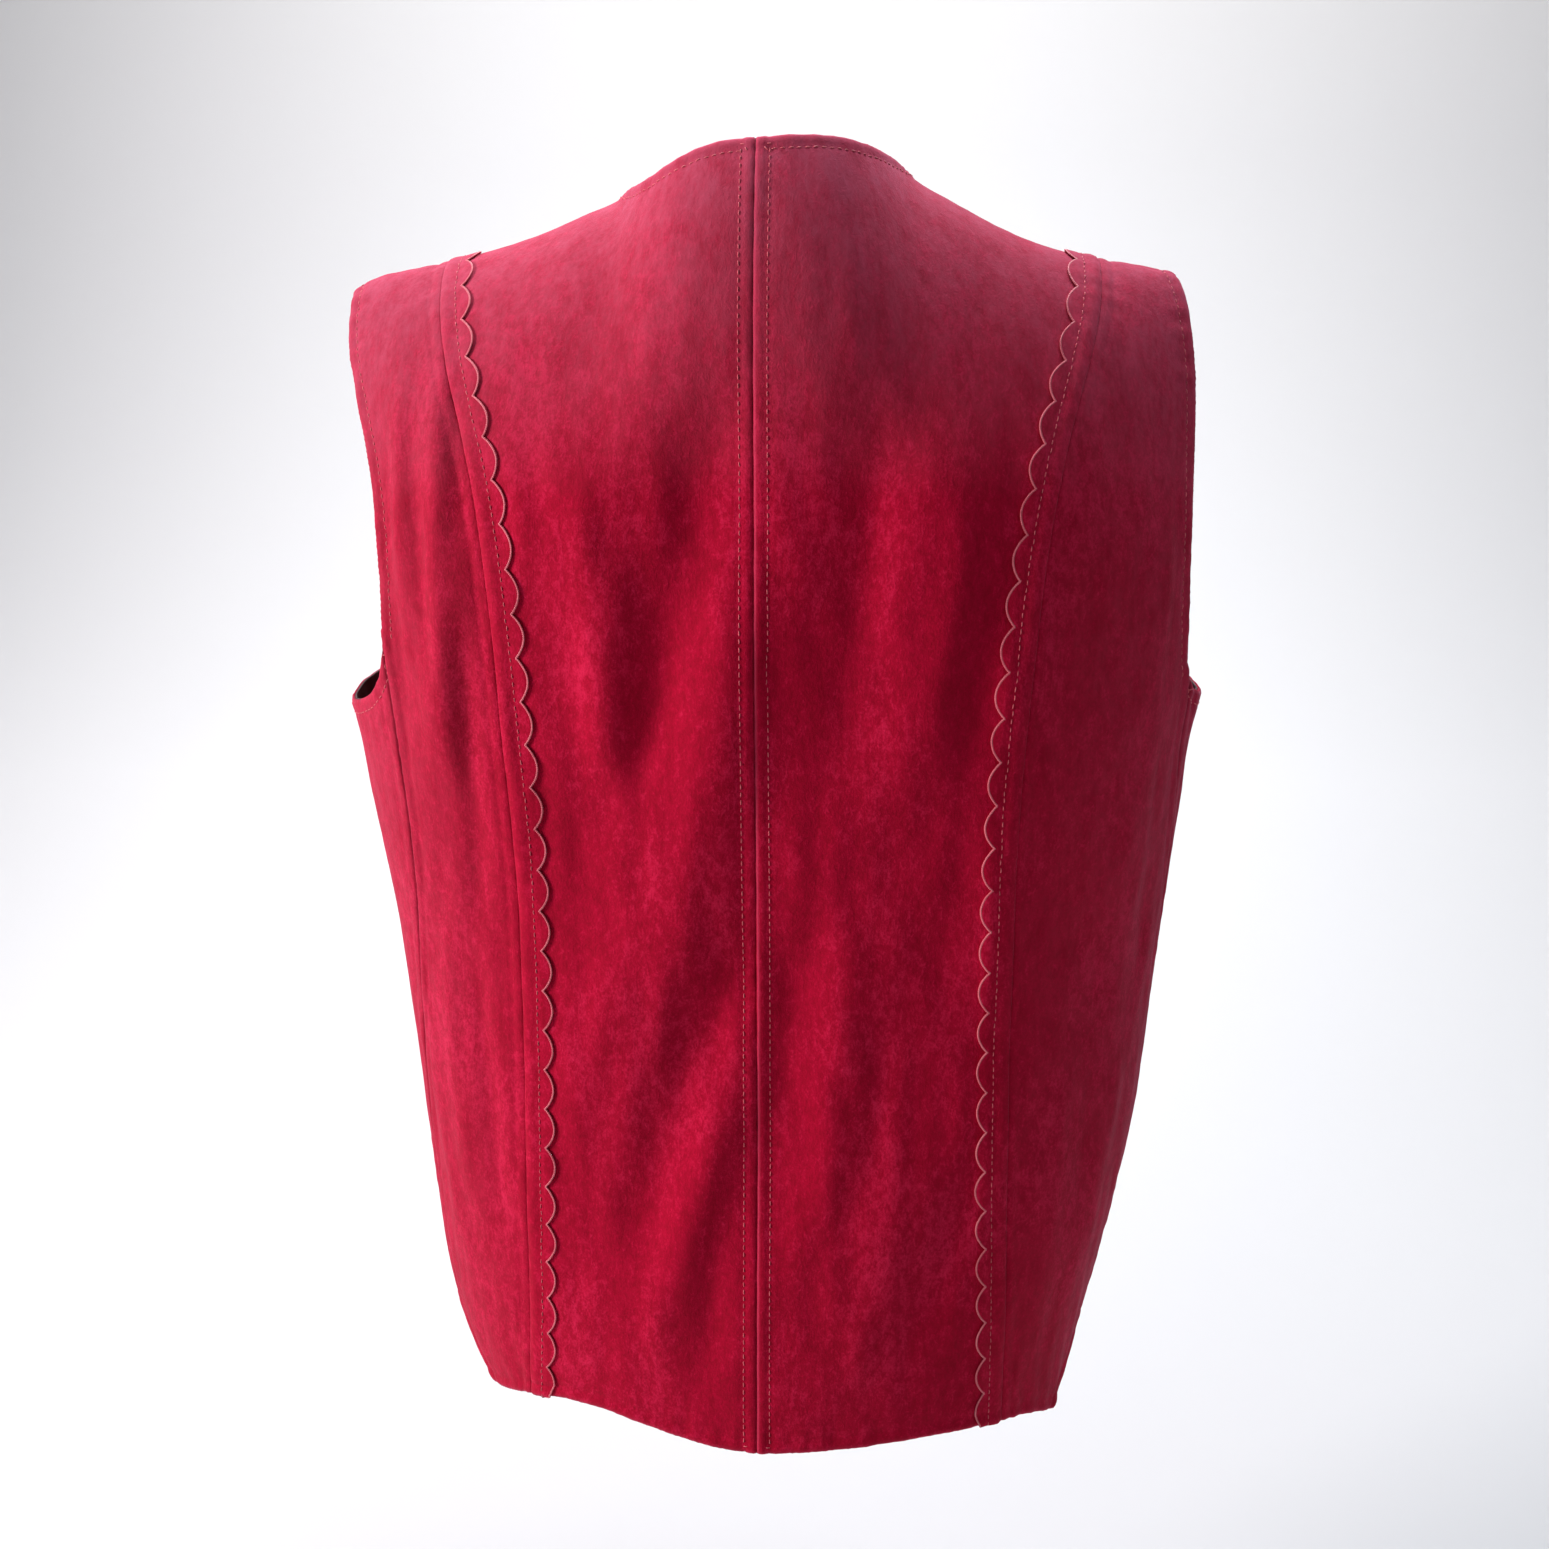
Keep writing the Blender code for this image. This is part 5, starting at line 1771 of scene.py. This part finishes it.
@dataclass
class Lining:
    """The lining round one armhole, a piece for the back and a piece for the front."""

    side: Side
    form: VestForm
    wardrobe: Wardrobe
    depth: float = CLOTH + SEAM_GAP
    step: float = 0.0032
    rows_down: int = 12
    columns_in: int = 24

    def piece(
        self,
        place: str,
        grids: Sequence[tuple[np.ndarray, bool]],
    ) -> None:
        """One piece, made from a panel's grids moved in.

        Args:
            place: the panel that it lines, back or front.
            grids: the panel's points by the armhole, and whether they are turned round.
        """
        side_name = self.side.name.lower()
        node = f"lining_{place}_{side_name}"
        sheet, _ = Sheet.from_grids(grids)
        inset = Sheet(sheet.points - sheet.normals() * self.depth, sheet.quads)
        obj = shell(f"lining_cloth_{place}_{side_name}", inset, LINING_CLOTH)
        dress(obj, "lining_cloth", self.wardrobe.lining, self.wardrobe.lining)
        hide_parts(node)
        log.info("%s area %.4f", obj.name, inset.area())

    def build(self) -> None:
        """Builds both pieces."""
        left = self.side is Side.LEFT
        back = SideBack(self.side, self.form, self.wardrobe, step=self.step)
        front = Front(self.side, self.form, self.wardrobe, step=self.step)
        first = len(back.shares()[0]) - self.rows_down
        grid = back.grid()[first:, -self.columns_in :]
        self.piece("back", [(grid, left)])
        low, high = front.grids()
        column = high.shape[1] - self.columns_in
        grids = [(low[first:, column:], not left), (high[:, column:], not left)]
        self.piece("front", grids)


@dataclass
class Buttons:
    """Round sew-through buttons down the lapped front, with their buttonholes."""

    wardrobe: Wardrobe
    count: int = 5
    radius: float = BUTTON_RADIUS
    thickness: float = 0.0034
    rim: float = 0.0016
    rim_step: float = 0.0006
    rim_fall: float = 0.0007
    rim_round: float = 0.0005
    hole_radius: float = 0.0009
    hole_reach: float = 0.0016
    slot_half: float = 0.0108
    slot_round: float = 0.0012
    slot_inward: float = 0.0075

    @staticmethod
    def drum(
        vertices: int, radius: float, depth: float, turn: float = 0.0, off: float = 0.0
    ) -> bpy.types.Object:
        """A cylinder along Z, at a distance from the middle and a turn about it."""
        bpy.ops.object.select_all(action="DESELECT")
        bpy.ops.mesh.primitive_cylinder_add(
            vertices=vertices,
            radius=radius,
            depth=depth,
            location=(off * math.cos(turn * math.pi), off * math.sin(turn * math.pi), 0.0),
        )
        return bpy.context.object

    def model(self) -> bpy.types.Mesh:
        """One button at the origin, its face towards +Z."""
        button = self.drum(48, self.radius, self.thickness)
        bpy.ops.object.mode_set(mode="EDIT")
        body = bmesh.from_edit_mesh(button.data)
        for face in body.faces:
            face.select = face.normal.z > 0.9
        bmesh.update_edit_mesh(button.data)
        bpy.ops.mesh.inset(thickness=self.rim, depth=0.0)
        bpy.ops.mesh.inset(thickness=self.rim_step, depth=-self.rim_fall)
        bpy.ops.object.mode_set(mode="OBJECT")
        bevel = button.modifiers.new("rim", "BEVEL")
        bevel.width = self.rim_round
        bevel.segments = 3
        bpy.ops.object.modifier_apply(modifier="rim")
        for turn in (0.25, 0.75, 1.25, 1.75):
            deep = 3 * self.thickness
            cutter = self.drum(16, self.hole_radius, deep, turn, self.hole_reach)
            bpy.ops.object.select_all(action="DESELECT")
            bpy.context.view_layer.objects.active = button
            hole = button.modifiers.new("hole", "BOOLEAN")
            hole.operation = "DIFFERENCE"
            hole.solver = "EXACT"
            hole.object = cutter
            bpy.ops.object.modifier_apply(modifier=hole.name)
            bpy.data.objects.remove(cutter)
        mesh = button.data
        bpy.data.objects.remove(button)
        mesh.shade_smooth()
        mesh.set_sharp_from_angle(angle=math.radians(35))
        return mesh

    def threads(self) -> tuple[np.ndarray, np.ndarray]:
        """Two short bars of thread across the button's holes."""
        points, faces = Stitching(length=0.0030, radius=0.00035, proud=0.00035).stitch()
        aside = self.hole_reach * math.sin(math.pi / 4)
        bars = [points + (0.0, y * aside, 0.0008) for y in (-1, 1)]
        return np.concatenate(bars), np.concatenate([faces, faces + len(points)])

    def build(self, front: Sheet) -> None:
        """Sets the buttons and buttonholes on the finished right front."""
        tailoring = Tailoring(front, front)
        model = self.model()
        thread_points, thread_faces = self.threads()
        threads = []
        holes = []
        for number in range(1, self.count + 1):
            low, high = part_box(f"button_{number}")
            centre = np.array((low + high) / 2)
            place, up, _ = tailoring.settle(centre[None], slack=0.02)
            face = Vector(up[0])
            face.x = 0.0
            face.normalize()
            across = Vector((-1.0, 0.0, 0.0))
            rise = face.cross(across)
            turn = Matrix((across, rise, face)).transposed().to_4x4()
            where = Matrix.Translation(centre) @ turn
            mesh = model.copy()
            mesh.transform(where)
            button = bpy.data.objects.new(f"button_round_{number}", mesh)
            bpy.context.scene.collection.objects.link(button)
            dress(button, "button_horn", self.wardrobe.resin)
            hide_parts(f"button_{number}")
            rotated = np.array([(where @ Vector(p))[:] for p in thread_points.tolist()])
            threads.append((rotated, thread_faces))
            holes.append(self.buttonhole(tailoring, place[0]))
        sewn = joined_object("button_threads", threads)
        dress(sewn, "button_horn", self.wardrobe.topstitch)
        worked = joined_object("buttonholes", holes)
        dress(worked, "suede_cloth", self.wardrobe.topstitch)

    def buttonhole(
        self, tailoring: Tailoring, centre: np.ndarray
    ) -> tuple[np.ndarray, np.ndarray]:
        """A worked slot across the front, under its button."""
        turn = np.linspace(0.0, 2 * math.pi, 60)
        end = np.where(np.cos(turn) > 0, 1, -1) * self.slot_half
        x = self.slot_inward + end + np.cos(turn) * self.slot_round
        z = np.sin(turn) * self.slot_round
        loop = centre + np.stack([x, np.zeros_like(x), z], axis=-1)
        place, up, _ = tailoring.settle(loop, slack=0.02)
        cord = EdgeCord(width=0.0013, height=0.0007)
        return cord.along(place + up * 0.0001, up, closed=True)


class Lamp(NamedTuple):
    """A soft square light: where it stands, what it faces, its power, size and colour."""

    name: str
    place: tuple[float, float, float]
    target: tuple[float, float, float]
    power: float
    size: float
    colour: Colour


LAMPS = (
    Lamp("key", (-1.92, -0.66, 0.36), (0.0, 0.0, -0.28), 54.0, 0.6, (1.0, 0.94, 0.97)),
    Lamp("fill", (1.1, -0.75, 1.15), (0.0, 0.0, -0.15), 5.0, 1.2, (0.66, 0.76, 1.0)),
    Lamp("top", (0.1, 0.30, 1.5), (0.0, 0.0, -0.1), 36.0, 1.0, (0.88, 0.93, 1.0)),
    Lamp("paper", (0.0, 1.3, 2.1), (0.0, 2.4, 0.0), 44.0, 2.4, (1.0, 1.0, 1.0)),
)


@dataclass
class Studio:
    """Floor, light and camera."""

    floor_drop: float = 0.30
    floor_back: float = 2.4
    wall: float = 4.0
    sweep: float = 1.6
    near_grey: Colour = (0.60, 0.60, 0.60)
    far_grey: Colour = (0.90, 0.90, 0.90)
    air: tuple[float, ...] = (0.90, 0.94, 1.0, 1.0)
    air_light: float = 0.06
    lens: float = 31.84
    eye: tuple[float, float, float] = (0.0511, -0.6881, -0.187)
    tip_down: float = 8.3
    turn: float = 4.0

    def build(self) -> None:
        """Sets the stage."""
        self.floor()
        for lamp in LAMPS:
            self.light(lamp)
        world = bpy.data.worlds.new("studio_air")
        bpy.context.scene.world = world
        world.use_nodes = True
        air = world.node_tree.nodes["Background"]
        air.inputs["Color"].default_value = self.air
        air.inputs["Strength"].default_value = self.air_light
        bpy.context.scene.view_settings.view_transform = "Standard"
        self.camera()

    def floor(self) -> None:
        """A pale floor that sweeps up behind."""
        level = HEM_Z - self.floor_drop
        bpy.ops.object.select_all(action="DESELECT")
        bpy.ops.mesh.primitive_plane_add(size=10.0, location=(0.0, 0.0, 0.0))
        floor = bpy.context.object
        floor.name = "floor"
        bpy.ops.object.mode_set(mode="EDIT")
        body = bmesh.from_edit_mesh(floor.data)
        for vert in body.verts:
            vert.co.z = level
            if vert.co.y > 0:
                vert.co.y = self.floor_back
        for edge in body.edges:
            edge.select = all(v.co.y > 0 for v in edge.verts)
        body.select_mode = {"EDGE"}
        body.select_flush_mode()
        bmesh.update_edit_mesh(floor.data)
        bpy.ops.mesh.select_mode(type="EDGE")
        bpy.ops.mesh.extrude_region_move(
            TRANSFORM_OT_translate={"value": (0.0, 0.0, self.wall)}
        )
        body = bmesh.from_edit_mesh(floor.data)
        for edge in body.edges:
            low = all(v.co.z < level + MILLIMETRE for v in edge.verts)
            edge.select = low and all(v.co.y > 0 for v in edge.verts)
        bmesh.update_edit_mesh(floor.data)
        bpy.ops.mesh.bevel(offset=self.sweep, segments=28, affect="EDGES")
        bpy.ops.object.mode_set(mode="OBJECT")
        floor.data.shade_smooth()
        paint = Finish("floor_paint", 0.85)
        place = paint.coordinates()
        back = paint.spread(paint.parted(place, "Y"), 0.2, 1.8)
        share = back * 0.9 + paint.noise(place, 0.6) * 0.1
        paint.feed("Base Color", paint.mixed(self.near_grey, self.far_grey, share))
        floor.data.materials.append(paint.material)

    def light(self, lamp: Lamp) -> None:
        """Hangs one light."""
        data = bpy.data.lights.new(lamp.name, "AREA")
        data.energy = lamp.power
        data.size = lamp.size
        data.color = lamp.colour
        obj = bpy.data.objects.new(lamp.name, data)
        obj.location = lamp.place
        aim = Vector(lamp.target) - Vector(lamp.place)
        obj.rotation_euler = aim.to_track_quat("-Z", "Y").to_euler()
        bpy.context.scene.collection.objects.link(obj)

    def camera(self) -> None:
        """The camera, a little right of the middle and tipped down."""
        data = bpy.data.cameras.new("camera")
        data.sensor_width = 36.0
        data.lens = self.lens
        data.clip_start = 0.01
        obj = bpy.data.objects.new("camera", data)
        obj.location = self.eye
        tip = math.radians(90 - self.tip_down)
        obj.rotation_euler = (tip, 0.0, math.radians(self.turn))
        bpy.context.scene.collection.objects.link(obj)
        bpy.context.scene.camera = obj


def main() -> None:
    """Builds the vest piece by piece."""
    logging.basicConfig(level=logging.INFO, format="%(name)s: %(message)s")
    wardrobe = Wardrobe()
    form = VestForm()
    for side in Side:
        panel = CentreBack(side, form, wardrobe).build()
        ScallopStrip(side, wardrobe).build(panel)
        SideBack(side, form, wardrobe).build()
        front = Front(side, form, wardrobe).build()
        Lining(side, form, wardrobe).build()
        if side is Side.RIGHT:
            Buttons(wardrobe).build(front)
    Studio().build()


if __name__ == "__main__":
    main()
